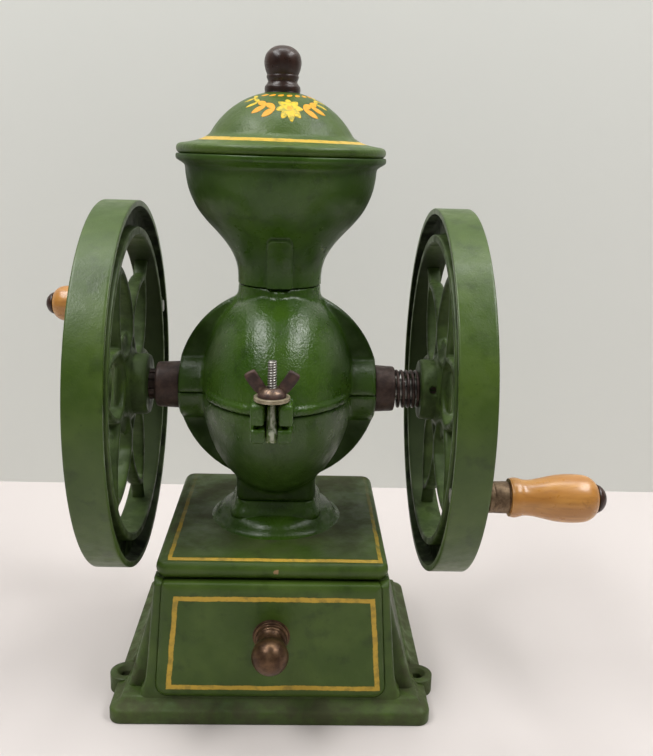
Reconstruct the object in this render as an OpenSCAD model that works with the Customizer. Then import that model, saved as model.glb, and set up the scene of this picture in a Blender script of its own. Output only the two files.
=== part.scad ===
// Two-wheel counter coffee mill, in millimetres.
// X runs along the shaft, -Y faces the user, +Z is up, and the origin lies under the middle of the base.

/* [Base] */
// Width of the plinth
plinth_w = 232; // [224:1:250]
// Depth of the plinth
plinth_d = 198; // [190:1:220]
// Height of the plinth, which is also the floor of the drawer space
plinth_h = 12; // [8:1:16]
// Height of the flat top above the table
base_h = 122; // [112:1:140]
// Width of the top slab
slab_w = 164; // [160:1:176]
// Depth of the top slab
slab_d = 176; // [168:1:184]
// How far the top slab sits in front of the middle
slab_forward = 0; // [0:0.5:5]
// Thickness of the top slab
slab_t = 11; // [8:1:14]
// Corner radius of the slab and the plinth
base_corner_r = 9; // [4:1:14]
// Width of the flared skirt where it meets the plinth
skirt_w = 212; // [200:1:216]
// Wall thickness of the skirt
base_wall = 6; // [4:0.5:8]
// Width of the drawer frame where it meets the plinth
frame_w = 183; // [178:1:188]
// How far the drawer frame stands in front of the skirt
frame_out = 12; // [8:1:18]
// How far the drawer frame stands in front of the slab
frame_lip = 2.5; // [1:0.5:4]
// Distance between the two screw-down holes
ear_spacing = 222; // [214:1:236]
// How far the screw-down holes sit in front of the middle
ear_front = 53; // [30:1:70]
// Outside diameter of a screw-down ear
ear_d = 24; // [20:1:28]
// Height of a screw-down ear
ear_h = 13.5; // [13:0.5:18]
// Diameter of a screw-down hole
ear_hole_d = 7.5; // [5:0.5:9]
// Diameter of the countersink at the top of a screw-down hole
ear_sink_d = 13; // [11:0.5:15]
// Height of the pedestal that carries the case
pedestal_h = 21; // [17:1:28]
// Radius of the round step under the pedestal
step_r = 45; // [42:0.5:50]
// Height of the round step under the pedestal
step_h = 12; // [10:0.5:14]
// Rounding of the round step's edge
step_edge_r = 7; // [3:0.5:9]
// Radius of the fillet between the round step and the slab
step_fillet_r = 6; // [3:0.5:8]

/* [Drawer] */
// Width of the drawer front at its foot
drawer_w = 166; // [160:1:168]
// Width of the drawer front at its top
drawer_top_w = 153; // [150:1:155]
// Height of the drawer front
drawer_h = 91; // [84:1:91]
// Thickness of the drawer front
drawer_front_t = 10; // [8:0.5:14]
// How far the drawer front stands proud of its frame
drawer_proud = 3; // [1:0.5:5]
// Gap around the drawer front
drawer_gap = 1; // [0.5:0.1:1.5]
// Gap between the plinth and the drawer front
drawer_lift = 6.5; // [4:0.5:6.5]
// Width of the drawer tray
tray_w = 138; // [120:1:142]
// Depth of the drawer tray
tray_d = 148; // [120:1:152]
// Height of the drawer tray
tray_h = 78; // [60:1:80]
// Wall thickness of the drawer tray
tray_wall = 3; // [2:0.5:5]
// Diameter of the drawer knob
drawer_knob_d = 25.5; // [20:0.5:30]
// Length of the drawer knob
drawer_knob_l = 37.5; // [30:0.5:42]

/* [Case] */
// Height from the pedestal to the shaft
foot_h = 83; // [81:1:90]
// Width of the foot
foot_w = 60; // [56:1:64]
// Depth of the foot
foot_d = 56; // [52:1:60]
// Corner radius of the foot and the pedestal
foot_corner_r = 8; // [4:0.5:11]
// Radius of the ball-shaped case seen from the side
ball_r = 80; // [79:0.5:84]
// Width of the ball-shaped case
ball_w = 114; // [110:1:118]
// Diameter of the flat web round the case
web_d = 153; // [140:1:158]
// Thickness of the flat web
web_t = 9; // [6:0.5:14]
// Distance over the two bearing bosses
boss_span = 147; // [143:1:156]
// Diameter of a bearing boss
boss_d = 47; // [43:1:52]
// Gap at the parting line of the case
parting_gap = 0.5; // [0.3:0.1:1]
// Height from the shaft to the seam of the hopper
neck_h = 80; // [78:1:86]
// Diameter of the neck
neck_d = 60.6; // [58:0.2:64]
// Diameter of the bean throat
throat_d = 46; // [40:1:48]
// Width of the round rib on the front of the neck
neck_rib_d = 18; // [12:1:22]

/* [Hopper and lid] */
// Height of the hopper
hopper_h = 90.6; // [86:0.2:100]
// Diameter of the hopper bowl
bowl_d = 135; // [130:0.2:142]
// Diameter of the hopper lip
lip_d = 149.2; // [144:0.2:154]
// Wall thickness of the hopper
hopper_wall = 4; // [3:0.5:5]
// Depth of the spigot under the hopper
spigot_h = 6; // [5:0.5:8]
// Thickness of the lid's brim at its edge
brim_t = 6.6; // [4:0.2:8]
// Rise of the brim from its edge to the dome
brim_rise = 3.5; // [1:0.5:5]
// Height of the lid's dome over the brim
dome_h = 37; // [33:1:44]
// Radius of the dome where it starts to flare into the brim
dome_r = 50.5; // [48:0.5:54]
// Radius of curvature of the dome
dome_curve_r = 58; // [55:1:80]
// Wall thickness of the lid
lid_wall = 4; // [3:0.5:5]
// Depth of the ring that centres the lid in the hopper
lid_ring_h = 5; // [3:0.5:8]
// Diameter of the lid knob
lid_knob_d = 26; // [22:0.2:30]
// Height of the lid knob
lid_knob_h = 31.4; // [28:0.2:36]

/* [Shaft and wheels] */
// Diameter of the shaft
shaft_d = 15.9; // [14:0.1:17]
// Length of the left bush collar
left_collar_l = 18; // [14:0.5:22]
// Length of the right bush collar
right_collar_l = 15; // [12:0.5:20]
// Diameter of the bush collars
collar_d = 35.4; // [32:0.2:40]
// Diameter of the bush inside its boss
bush_d = 28; // [25:0.5:31]
// Length of the bush inside its boss
bush_l = 20; // [14:1:24]
// Length of the adjusting nut
adjust_nut_l = 4.8; // [4:0.2:8]
// Diameter of the adjusting nut
adjust_nut_d = 23; // [21:0.2:26]
// Length of the thrust spring
spring_l = 18.6; // [15:0.2:24]
// Outside diameter of the thrust spring
spring_d = 29.4; // [26:0.2:31]
// Wire diameter of the thrust spring
spring_wire_d = 2.4; // [1.8:0.1:2.6]
// Turns of the thrust spring
spring_turns = 4.7; // [3:0.1:5]
// Diameter of a flywheel
wheel_d = 273; // [262:1:290]
// Width of a flywheel's tread
tread_w = 25; // [22:0.5:30]
// Thickness of a flywheel's rim
rim_t = 4.6; // [3:0.2:6]
// Radius of the bead ring inside the rim
ring_r = 114.5; // [112:0.5:116]
// Width of the bead ring
ring_w = 6; // [4:0.5:7]
// Diameter of a hub
hub_d = 46; // [40:1:50]
// How far a hub stands inside the rim
hub_nose = 6; // [4:0.5:10]
// Radius of the plate round a hub, where the leaves open
plate_r = 40; // [34:1:43]
// Number of leaf-shaped loops in a flywheel
leaf_count = 6; // [5:1:6]
// Radius of the tips of the leaves
leaf_tip_r = 96; // [90:1:102]
// Width of a leaf over its ribs
leaf_w = 46; // [40:1:48]
// Width of the ribs that form the leaves
leaf_rib_w = 6.5; // [5:0.5:8]
// Depth of the leaves along the shaft
leaf_depth = 7; // [6:0.5:12]
// Radius at which the ribs of neighbouring leaves part
vee_r = 50; // [44:1:54]

/* [Handles] */
// How far the crank lies inside the tread
crank_in = 11.5; // [10.5:0.1:12.5]
// Angle of the left crank above the level, at the back
crank_angle = 18; // [0:1:40]
// Diameter of a crank spindle
spindle_d = 10; // [8:0.5:11]
// Length of a ferrule
ferrule_l = 14; // [10:0.5:18]
// Diameter of a ferrule
ferrule_d = 20.8; // [19:0.2:23]
// Length of a wooden grip
grip_l = 57; // [48:1:70]
// Largest diameter of a wooden grip
grip_d = 31.4; // [28:0.2:36]
// Diameter of an end ball
end_ball_d = 18.2; // [15:0.2:20]
// Length of an end ball
end_ball_l = 6.6; // [5:0.2:8]

/* [Clamp and hinge] */
// Sideways place of the clamp
clamp_x = -1.8; // [-4:0.1:4]
// How far the swing bolt stands in front of the shaft
clamp_front = 94; // [93:0.5:98]
// How far the pin of the swing bolt lies under the shaft
clamp_pin_drop = 7; // [6:0.5:8]
// Height of the clamped seat over the pin
clamp_seat = 23.5; // [21:0.5:26]
// Width of the clamp lugs
lug_w = 28; // [25:0.5:31]
// Diameter of the swing bolt
bolt_d = 6.35; // [5:0.05:7]
// Height of the swing bolt over its pin
bolt_l = 50; // [44:0.5:54]
// Diameter of the clamp washer
washer_d = 24; // [20:0.5:25]
// Thickness of the clamp washer
washer_t = 2.4; // [1.6:0.2:4]
// Diameter of the wing nut's hub
wing_hub_d = 19; // [15:0.5:21]
// Span of the wing nut over its wings
wing_span = 35; // [30:0.5:36]
// How far the hinge lies behind the shaft
hinge_back = 92; // [91:0.5:98]
// Diameter of the hinge knuckles
knuckle_d = 15; // [12:0.5:16]
// Diameter of the hinge pin
hinge_pin_d = 6; // [4:0.5:7]

/* [Burrs] */
// Diameter of the fixed burr
fixed_burr_d = 92; // [80:1:94]
// Diameter of the rotating burr
rotating_burr_d = 88; // [76:1:89]
// Thickness of a burr
burr_t = 8; // [6:0.5:9]
// Grinding gap between the burrs
burr_gap = 0.7; // [0.5:0.1:1.2]
// Outside diameter of the feed worm
worm_d = 41; // [34:1:42]
// Grooves in a burr
burr_grooves = 12; // [8:1:20]

/* [Hidden] */
$fn = 96;
green = [0.16, 0.27, 0.10];
brown = [0.22, 0.15, 0.12];
steel = [0.62, 0.62, 0.60];
honey = [0.72, 0.47, 0.20];
copper = [0.42, 0.25, 0.16];
dark_wood = [0.16, 0.09, 0.08];
tin = [0.55, 0.53, 0.48];

// Overlap between the joined shapes of one casting, and reach of a cut past a face
weld = 1;
// Radial clearance of a running fit
running = 0.05;
// Clearance between faces that move past each other
clear = 0.3;
// Clearance between the upper case and the pieces that stay behind when it opens
open_clear = 0.4;
// A length larger than the whole object
far = 600;

shaft_z = base_h + pedestal_h + foot_h;
pedestal_top = base_h + pedestal_h;
seam_z = shaft_z + neck_h;
rim_z = seam_z + hopper_h;
brim_top = rim_z + brim_t;
dome_top = brim_top + dome_h;
shaft_r = shaft_d / 2;

slab_bottom = base_h - slab_t;
slab_front = slab_d / 2 + slab_forward;
slab_back = slab_d / 2 - slab_forward;
frame_front = slab_front + frame_lip;
skirt_front = frame_front - frame_out;
skirt_back = plinth_d / 2 - base_wall;
drawer_z = plinth_h + drawer_lift;
drawer_face = frame_front + drawer_proud;
drawer_back = drawer_face - drawer_front_t;
tray_z = drawer_z;
knob_z = drawer_z + drawer_h * 0.55;
chute_w = 28;
chute_d = 30;
chute_x = -10;
foot_bolt_d = 5;
foot_bolt_inset = 6;
foot_bolt_grip = 12;

boss_x = boss_span / 2;
left_hub_x = boss_x + left_collar_l + adjust_nut_l + 2 * clear;
right_hub_x = boss_x + right_collar_l + spring_l + clear;
left_rim_x = left_hub_x + hub_nose;
right_rim_x = right_hub_x + hub_nose;
wheel_r = wheel_d / 2;
crank_r = wheel_r - crank_in;
ring_in = ring_r - ring_w / 2;
ring_out = ring_r + ring_w / 2;
web_floor = 9;
web_thick = 8;
hub_end = tread_w + 2;
shaft_out = hub_end + 1;
hub_bevel = 1.2;
hub_flare_h = 4;
hub_flare_w = 9;
set_screw_d = 6.4;
set_screw_w = 3;
set_screw_angle = 167;
crank_boss_d = 16;

ferrule_start = tread_w + open_clear;
grip_start = ferrule_start + ferrule_l;
grip_end = grip_start + grip_l;
ball_start = grip_end + clear;

pin_z = shaft_z - clamp_pin_drop;
seat_z = pin_z + clamp_seat;
washer_z = seat_z + 0.1;
wing_z = washer_z + washer_t + 0.2;
clamp_pin_d = 5;
eye_d = 12;
eye_t = 7.4;
ear_slot = eye_t + 2 * clear;
fork_slot = bolt_d + 3;
lug_reach = clamp_front + 9;

// Stations of the grinding set along the shaft
burr_face = -16.5;
fixed_burr_x1 = burr_face + burr_t;
rotating_burr_x1 = burr_face - burr_gap;
rotating_burr_x0 = rotating_burr_x1 - burr_t;
chamber_x0 = rotating_burr_x0 - 7;
trough_x1 = ball_w / 2 - 16;
worm_x0 = burr_face + 2;
worm_x1 = trough_x1 - 3;
trough_d = worm_d + 6;
burr_hole_d = trough_d + 1;
lower_chamber_d = rotating_burr_d + 12;
upper_chamber_d = rotating_burr_d + 5;
burr_screw_r = (burr_hole_d + fixed_burr_d) / 4;
key_w = 4;

// Sizes of the small screws, and the round rib on the neck with its tongue
fixed_burr_screw_d = 4;
hopper_screw_d = 3;
lid_screw_d = 4;
lid_screw_l = 14;
drawer_screw_d = 3.5;
knob_screw_d = 4;
knob_screw_grip = 12;
rib_y = neck_d / 2 - neck_rib_d / 4 - 1;
rib_tongue = 1.6;
rib_rise = 37;
rib_lean = 20;

// Smooth step from a to b as t goes from 0 to 1
function ease(a, b, t) = a + (b - a) * (1 - cos(180 * t)) / 2;

// Value at s of a smooth curve that is level at each [s, value] knot
function eased(knots, s) =
  let (spans = [for (k = [0:len(knots) - 2]) if (s >= knots[k][0]) k])
  let (i = len(spans) > 0 ? spans[len(spans) - 1] : 0)
  let (a = knots[i])
  let (b = knots[i + 1])
  ease(a[1], b[1], min(1, max(0, (s - a[0]) / (b[0] - a[0]))));

// Points [radius, s] of a turned outline through knots, at count + 1 even steps
function turned(knots, count) =
  let (s0 = knots[0][0])
  let (s1 = knots[len(knots) - 1][0])
  [for (i = [0:count]) let (s = s0 + (s1 - s0) * i / count) [eased(knots, s), s]];

// Round bar along X between two stations
module bar_x(x0, x1, d) {
  translate([x0, 0, 0])
    rotate([0, 90, 0])
      cylinder(d = d, h = x1 - x0);
}

// Carries a shape drawn on X and Y, with its height on Z, to Y and Z with its height on X
module stand_on_x() {
  rotate([90, 0, 90])
    children();
}

module at_shaft() {
  translate([0, 0, shaft_z])
    children();
}

module rounded_rect(w, d, r) {
  square([w - 2 * r, d], center = true);
  square([w, d - 2 * r], center = true);
  for (sx = [-1, 1], sy = [-1, 1])
    translate([sx * (w / 2 - r), sy * (d / 2 - r)])
      circle(r = r);
}

// Block with sides that flare from w_top to w_low, between y0 and y1, and a back that flares by back_flare
module flared_block(w_top, w_low, y0, y1, back_flare, z0, z1) {
  intersection() {
    translate([0, far / 2, 0])
      rotate([90, 0, 0])
        linear_extrude(far)
          polygon([[-w_low / 2, z0], [w_low / 2, z0], [w_top / 2, z1], [-w_top / 2, z1]]);
    translate([-far / 2, 0, 0])
      stand_on_x()
        linear_extrude(far)
          polygon([[y0, z0], [y1 + back_flare, z0], [y1, z1], [y0, z1]]);
  }
}

// Outline of the drawer front, grown by a gap, in X and Z
module drawer_outline(grow) {
  top_r = 3;
  low_r = 9;
  hull()
    for (s = [-1, 1]) {
      translate([s * (drawer_top_w / 2 - top_r), drawer_z + drawer_h - top_r])
        circle(r = top_r + grow, $fn = 32);
      translate([s * (drawer_w / 2 - low_r), drawer_z + low_r])
        circle(r = low_r + grow, $fn = 32);
    }
}

module foot_bolt_places() {
  for (sx = [-1, 1], sy = [-1, 1])
    translate([sx * (foot_w / 2 - foot_bolt_inset), sy * (foot_d / 2 - foot_bolt_inset), 0])
      children();
}

// Straight way of the ground coffee, from a height up to another
module chute(z0, z1) {
  translate([chute_x - chute_w / 2, -chute_d / 2, z0])
    cube([chute_w, chute_d, z1 - z0]);
}

// Round step with a soft edge and a fillet, and the block that the foot stands on
module pedestal() {
  translate([0, 0, base_h])
    rotate_extrude() {
      translate([0, -weld])
        square([step_r - step_edge_r, step_h + weld]);
      translate([0, -weld])
        square([step_r, step_h - step_edge_r + weld]);
      translate([step_r - step_edge_r, step_h - step_edge_r])
        circle(r = step_edge_r);
      difference() {
        translate([step_r - weld, -weld])
          square([step_fillet_r + weld, step_fillet_r + weld]);
        translate([step_r + step_fillet_r, step_fillet_r])
          circle(r = step_fillet_r);
      }
    }
  translate([0, 0, base_h - weld])
    linear_extrude(pedestal_h + weld)
      rounded_rect(foot_w, foot_d, foot_corner_r);
}

module base_shell() {
  plinth_step = 3;
  skirt_inset = 3;
  linear_extrude(plinth_h - plinth_step)
    rounded_rect(plinth_w, plinth_d, base_corner_r);
  linear_extrude(plinth_h)
    rounded_rect(plinth_w - 2 * plinth_step, plinth_d - 2 * plinth_step, base_corner_r - plinth_step / 2);
  flared_block(slab_w - 2 * skirt_inset, skirt_w, -skirt_front, slab_back - skirt_inset,
    skirt_back - slab_back, plinth_h - weld, slab_bottom + weld);
  flared_block(slab_w, frame_w, -frame_front, -skirt_front + weld, 0, plinth_h - weld, slab_bottom + weld);
  translate([0, -slab_forward, slab_bottom])
    linear_extrude(slab_t)
      rounded_rect(slab_w, slab_d, base_corner_r);
  for (s = [-1, 1])
    translate([s * ear_spacing / 2, -ear_front, 0])
      cylinder(d = ear_d, h = ear_h);
  pedestal();
}

module base_casting() {
  cavity_front = skirt_front - base_wall;
  sink_h = (ear_sink_d - ear_hole_d) / 2;
  rail_h = 8;
  rail_t = 4;
  color(green) {
    difference() {
      base_shell();
      flared_block(slab_w - 3 * base_wall, skirt_w - 2 * base_wall, -cavity_front, slab_back - 2 * base_wall,
        skirt_back - slab_back, plinth_h, slab_bottom);
      translate([0, -cavity_front + weld, 0])
        rotate([90, 0, 0])
          linear_extrude(far)
            drawer_outline(drawer_gap);
      chute(slab_bottom - weld, pedestal_top + weld);
      foot_bolt_places()
        translate([0, 0, slab_bottom - weld])
          cylinder(d = foot_bolt_d, h = far, $fn = 32);
      for (s = [-1, 1])
        translate([s * ear_spacing / 2, -ear_front, 0]) {
          translate([0, 0, -weld])
            cylinder(d = ear_hole_d, h = far);
          translate([0, 0, ear_h - sink_h])
            cylinder(d1 = ear_hole_d, d2 = ear_sink_d + 2 * weld, h = sink_h + weld);
        }
    }
    for (s = [-1, 1]) {
      translate([s * (tray_w / 2 + 2 * clear + rail_t / 2) - rail_t / 2, -cavity_front, plinth_h - weld])
        cube([rail_t, tray_d - frame_out, tray_z + rail_h - plinth_h + weld]);
      translate([s * (tray_w / 2 - rail_t) - rail_t / 2, -cavity_front, plinth_h - weld])
        cube([rail_t, tray_d - frame_out, tray_z - clear - plinth_h + weld]);
    }
  }
}

module foot_bolts() {
  head_h = 3.5;
  color(steel)
    foot_bolt_places() {
      translate([0, 0, slab_bottom - head_h])
        cylinder(d = 2 * foot_bolt_d - 1, h = head_h, $fn = 6);
      translate([0, 0, slab_bottom - weld])
        cylinder(d = foot_bolt_d, h = slab_t + pedestal_h + foot_bolt_grip + weld, $fn = 32);
    }
}

// Ball turned about the shaft and the flat web across it, which ends at the bearing bosses
module case_form() {
  steps = 24;
  rotate([0, 90, 0])
    rotate_extrude()
      polygon([for (i = [0:steps]) let (a = -90 + 180 * i / steps) [ball_r * cos(a), ball_w / 2 * sin(a)]]);
  intersection() {
    rotate([90, 0, 0])
      cylinder(d = web_d, h = web_t, center = true);
    cube([boss_span - 2 * clear, far, far], center = true);
  }
}

module half_space(up) {
  translate([-far / 2, -far / 2, up ? parting_gap / 2 : -far - parting_gap / 2])
    cube(far);
}

// Hollows that both halves of the case share, with extra room for the half that opens
module bearing_room(extra) {
  for (s = [0, 1])
    mirror([s, 0, 0]) {
      bar_x(boss_x - bush_l, boss_x + weld, bush_d + 2 * extra);
      bar_x(0, boss_x, shaft_d + 2 * weld + 2 * extra);
    }
  bar_x(burr_face - weld - extra, fixed_burr_x1 + extra, fixed_burr_d + 2 * extra);
  bar_x(fixed_burr_x1 - weld, trough_x1, trough_d);
}

// Lug of the clamp between two heights, as deep as the swing bolt needs
module lug_block(z0, z1) {
  translate([clamp_x - lug_w / 2, -lug_reach, z0])
    cube([lug_w, lug_reach - ball_r + 2 * knuckle_d / 2, z1 - z0]);
}

module lower_housing() {
  ear_half = eye_d / 2 - 0.5;
  arm_w = 7;
  color(green)
    difference() {
      union() {
        at_shaft()
          intersection() {
            union() {
              case_form();
              bar_x(-boss_x, boss_x, boss_d);
            }
            half_space(false);
          }
        translate([0, 0, pedestal_top])
          linear_extrude(foot_h - ball_r / 2)
            rounded_rect(foot_w, foot_d, foot_corner_r);
        lug_block(pin_z - ear_half + weld, pin_z + ear_half);
        for (s = [-1, 1])
          translate([s * (arm_w + clear) - (s > 0 ? 0 : arm_w), 0, shaft_z]) {
            translate([0, hinge_back, 0])
              bar_x(0, arm_w, knuckle_d);
            translate([0, ball_r - knuckle_d, -knuckle_d / 2])
              cube([arm_w, hinge_back - ball_r + knuckle_d, knuckle_d / 2 - parting_gap / 2]);
          }
      }
      at_shaft() {
        bearing_room(0);
        bar_x(chamber_x0, burr_face, lower_chamber_d);
        translate([0, hinge_back, 0])
          bar_x(-far / 2, far / 2, hinge_pin_d);
        fixed_burr_screw_places()
          bar_x(burr_face, 6, fixed_burr_screw_d);
      }
      chute(pedestal_top - weld, shaft_z - trough_d / 2 - base_wall);
      foot_bolt_places()
        translate([0, 0, pedestal_top - weld])
          cylinder(d = foot_bolt_d, h = foot_bolt_grip + weld, $fn = 32);
      translate([clamp_x - ear_slot / 2, -far, pin_z - far / 2])
        cube([ear_slot, far - clamp_front + eye_d / 2 + clear, far]);
      translate([0, -clamp_front, pin_z])
        bar_x(-far / 2, far / 2, clamp_pin_d);
    }
}

module upper_housing() {
  arm_w = 7;
  flare_d = 70;
  flare_z = 60;
  throat_floor = upper_chamber_d / 2 + base_wall / 2;
  color(green)
    difference() {
      union() {
        at_shaft() {
          intersection() {
            union() {
              case_form();
              bar_x(-boss_x + clear, boss_x - clear, boss_d);
            }
            half_space(true);
          }
          translate([0, 0, flare_z])
            cylinder(d1 = flare_d, d2 = neck_d, h = neck_h - flare_z - spigot_h - weld);
          cylinder(d = neck_d, h = neck_h);
          translate([0, -rib_y, flare_z])
            cylinder(d = neck_rib_d, h = neck_h - flare_z);
        }
        intersection() {
          lug_block(shaft_z + 2 * parting_gap, shaft_z + clamp_seat);
          translate([0, -clamp_front, pin_z])
            bar_x(-far / 2, far / 2, 2 * clamp_seat);
        }
        translate([0, 0, shaft_z]) {
          translate([0, hinge_back, 0])
            bar_x(-arm_w, arm_w, knuckle_d);
          translate([-arm_w, ball_r - knuckle_d, parting_gap / 2])
            cube([2 * arm_w, hinge_back - ball_r + knuckle_d, knuckle_d / 2 - parting_gap / 2]);
        }
      }
      at_shaft() {
        bearing_room(open_clear);
        bar_x(chamber_x0, burr_face, upper_chamber_d);
        translate([0, hinge_back, 0])
          bar_x(-far / 2, far / 2, hinge_pin_d + 2 * running);
        translate([0, 0, throat_floor])
          cylinder(d = throat_d, h = far);
        translate([fixed_burr_x1 + base_wall / 2, -throat_d / 3, 0])
          cube([throat_d / 2 - fixed_burr_x1 - base_wall, throat_d * 2 / 3, throat_floor + weld]);
        translate([0, 0, neck_h - spigot_h])
          cylinder(d = throat_d + 2 * hopper_wall, h = far);
      }
      translate([0, -rib_y, seam_z - rib_tongue])
        cylinder(d = neck_rib_d, h = far);
      translate([0, 0, seam_z - spigot_h / 2])
        rotate([-90, 0, 0])
          cylinder(d = hopper_screw_d, h = far, $fn = 32);
      translate([clamp_x - fork_slot / 2, -far, shaft_z])
        cube([fork_slot, far - clamp_front, far]);
      translate([clamp_x, -clamp_front, shaft_z])
        cylinder(d = fork_slot, h = far);
    }
}

module fixed_burr_screw_places() {
  for (a = [-50, -130])
    translate([0, burr_screw_r * cos(a), burr_screw_r * sin(a)])
      children();
}

module hopper() {
  steps = 30;
  lip_start = 7;
  lip_h = 3;
  rise = hopper_h - lip_start;
  outer = turned([[0, neck_d / 2], [5, neck_d / 2], [76 * rise / 83.6, bowl_d / 2], [rise, bowl_d / 2]], steps);
  inner = [for (p = outer) [max(throat_d / 2, p[0] - hopper_wall), p[1]]];
  reversed = [for (i = [len(inner) - 1:-1:0]) inner[i]];
  mouth = [[bowl_d / 2 - hopper_wall, hopper_h]];
  lip = [[lip_d / 2, hopper_h - lip_h], [lip_d / 2, hopper_h]];
  color(green)
    translate([0, 0, seam_z])
      difference() {
        union() {
          rotate_extrude()
            polygon(concat(outer, lip, mouth, reversed));
          translate([0, -rib_y, -rib_tongue])
            cylinder(d = neck_rib_d, h = neck_rib_d / 2);
          translate([0, -rib_y, 0])
            rotate([rib_lean, 0, 0])
              translate([0, 0, rib_y - neck_rib_d])
                cylinder(d = neck_rib_d, h = rib_rise - rib_y + neck_rib_d);
          translate([0, 0, -spigot_h])
            cylinder(d = throat_d + 2 * hopper_wall, h = spigot_h + weld);
        }
        translate([0, 0, -far / 2])
          cylinder(d = throat_d, h = far);
        translate([0, 0, -spigot_h / 2])
          rotate([-90, 0, 0])
            cylinder(d = hopper_screw_d, h = far, $fn = 32);
        rotate_extrude()
          polygon(concat([[0, 0]], inner, [[0, rise]]));
      }
}

module hopper_screw() {
  head_d = 6;
  head_h = 2;
  color(brown)
    translate([0, 0, seam_z - spigot_h / 2])
      rotate([-90, 0, 0])
        difference() {
          union() {
            translate([0, 0, throat_d / 2 + 0.5])
              cylinder(d = hopper_screw_d, h = neck_d / 2 - throat_d / 2, $fn = 32);
            translate([0, 0, neck_d / 2])
              cylinder(d = head_d, h = head_h);
          }
          translate([-head_d, -0.5, neck_d / 2 + head_h / 2])
            cube([2 * head_d, 1, head_h]);
        }
}

// Height of the lid's upper face over the brim's edge at a radius
function lid_rise(r) =
  let (drop = dome_curve_r - sqrt(dome_curve_r * dome_curve_r - min(r, dome_r) * min(r, dome_r)))
  let (edge = dome_h - dome_curve_r + sqrt(dome_curve_r * dome_curve_r - dome_r * dome_r))
  let (t = (r - dome_r) / (lip_d / 2 - dome_r))
  r <= dome_r ? dome_h - drop : brim_rise * (1 - t) + (edge - brim_rise) * pow(1 - t, 6);
pad_r = lid_knob_d / 2 - 1;
lid_pad_z = brim_top + lid_rise(pad_r);

module lid() {
  steps = 30;
  bore_d = 4.4;
  pad = lid_rise(pad_r);
  edge_round = 1.2;
  edge_r = lip_d / 2 - edge_round / 2;
  ring_r1 = bowl_d / 2 - hopper_wall - weld;
  ring_r0 = ring_r1 - hopper_wall;
  outer = [for (i = [0:steps]) let (r = pad_r + (edge_r - edge_round - pad_r) * i / steps)
    [r, brim_t + lid_rise(r)]];
  inner = [for (i = [0:steps]) let (r = ring_r0 * i / steps) [r, brim_t + min(pad, lid_rise(r)) - lid_wall]];
  color(green)
    translate([0, 0, rim_z])
      difference() {
        union() {
          rotate_extrude()
            polygon(concat([[0, 0], [0, brim_t + pad]], outer, [[edge_r, brim_t - edge_round], [edge_r, 0]]));
          translate([0, 0, -lid_ring_h])
            cylinder(r = ring_r1, h = lid_ring_h + weld);
        }
        rotate_extrude()
          polygon(concat([[0, -far / 2]], inner, [[ring_r0, -far / 2]]));
        cylinder(d = bore_d, h = far);
      }
}

module lid_knob() {
  foot_r = 0.95 * lid_knob_d / 2;
  waist_r = 0.79 * lid_knob_d / 2;
  bead_r = 0.87 * lid_knob_d / 2;
  throat_r = 0.83 * lid_knob_d / 2;
  head_s = 0.66 * lid_knob_h;
  steps = 12;
  stem = turned([[0, 0.9 * foot_r], [0.08 * lid_knob_h, foot_r], [0.24 * lid_knob_h, waist_r],
    [0.33 * lid_knob_h, bead_r], [0.39 * lid_knob_h, throat_r], [head_s, lid_knob_d / 2]], 3 * steps);
  cap = [for (i = [1:steps]) let (a = 90 * i / steps)
    [lid_knob_d / 2 * cos(a), head_s + (lid_knob_h - head_s) * sin(a)]];
  color(dark_wood)
    translate([0, 0, lid_pad_z])
      difference() {
        rotate_extrude()
          polygon(concat([[0, 0]], stem, cap));
        translate([0, 0, -weld])
          cylinder(d = lid_screw_d, h = lid_screw_l + weld, $fn = 32);
      }
}

module lid_knob_screw() {
  head_d = 9;
  head_h = 2.5;
  color(steel)
    translate([0, 0, lid_pad_z - lid_wall - head_h]) {
      cylinder(d = head_d, h = head_h);
      cylinder(d = lid_screw_d, h = head_h + lid_wall + lid_screw_l, $fn = 32);
    }
}

// Bush with a collar of a given length, on the right-hand side
module bush(collar_l) {
  taper = 1.5;
  round_off = 2;
  color(brown)
    at_shaft()
      difference() {
        union() {
          bar_x(boss_x - bush_l, boss_x + weld, bush_d);
          translate([boss_x, 0, 0])
            rotate([0, 90, 0])
              cylinder(d1 = collar_d, d2 = collar_d - taper, h = collar_l - round_off);
          translate([boss_x + collar_l - round_off, 0, 0])
            rotate([0, 90, 0])
              cylinder(d1 = collar_d - taper, d2 = collar_d - taper - round_off, h = round_off);
        }
        bar_x(0, far, shaft_d + 2 * running);
      }
}

module left_bush() {
  mirror([1, 0, 0])
    bush(left_collar_l);
}

module right_bush() {
  bush(right_collar_l);
}

module keyway() {
  translate([rotating_burr_x0 - weld, -key_w / 2, shaft_r - key_w / 2])
    cube([worm_x1 - rotating_burr_x0 + weld, key_w, key_w]);
}

module main_shaft() {
  color(steel)
    at_shaft()
      difference() {
        bar_x(-left_rim_x - shaft_out, right_rim_x + shaft_out, shaft_d);
        keyway();
      }
}

module shaft_key() {
  color(steel)
    at_shaft()
      keyway();
}

// Shallow slanting grooves in the face of a burr, from station x0 to x1
module grooves(x0, x1, d) {
  groove_w = 2;
  for (i = [0:burr_grooves - 1])
    rotate([360 * i / burr_grooves, 0, 0])
      translate([x0, burr_hole_d / 4, burr_hole_d / 2])
        cube([x1 - x0, groove_w, d]);
}

module fixed_burr() {
  groove_t = 1.5;
  head_d = 2 * fixed_burr_screw_d;
  color(steel)
    at_shaft()
      difference() {
        bar_x(burr_face, fixed_burr_x1, fixed_burr_d);
        bar_x(burr_face - weld, fixed_burr_x1 + weld, burr_hole_d);
        grooves(burr_face - weld, burr_face + groove_t, fixed_burr_d);
        fixed_burr_screw_places() {
          bar_x(burr_face - weld, fixed_burr_x1 + weld, fixed_burr_screw_d);
          bar_x(burr_face - weld, burr_face + burr_t / 2, head_d);
        }
      }
}

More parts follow.
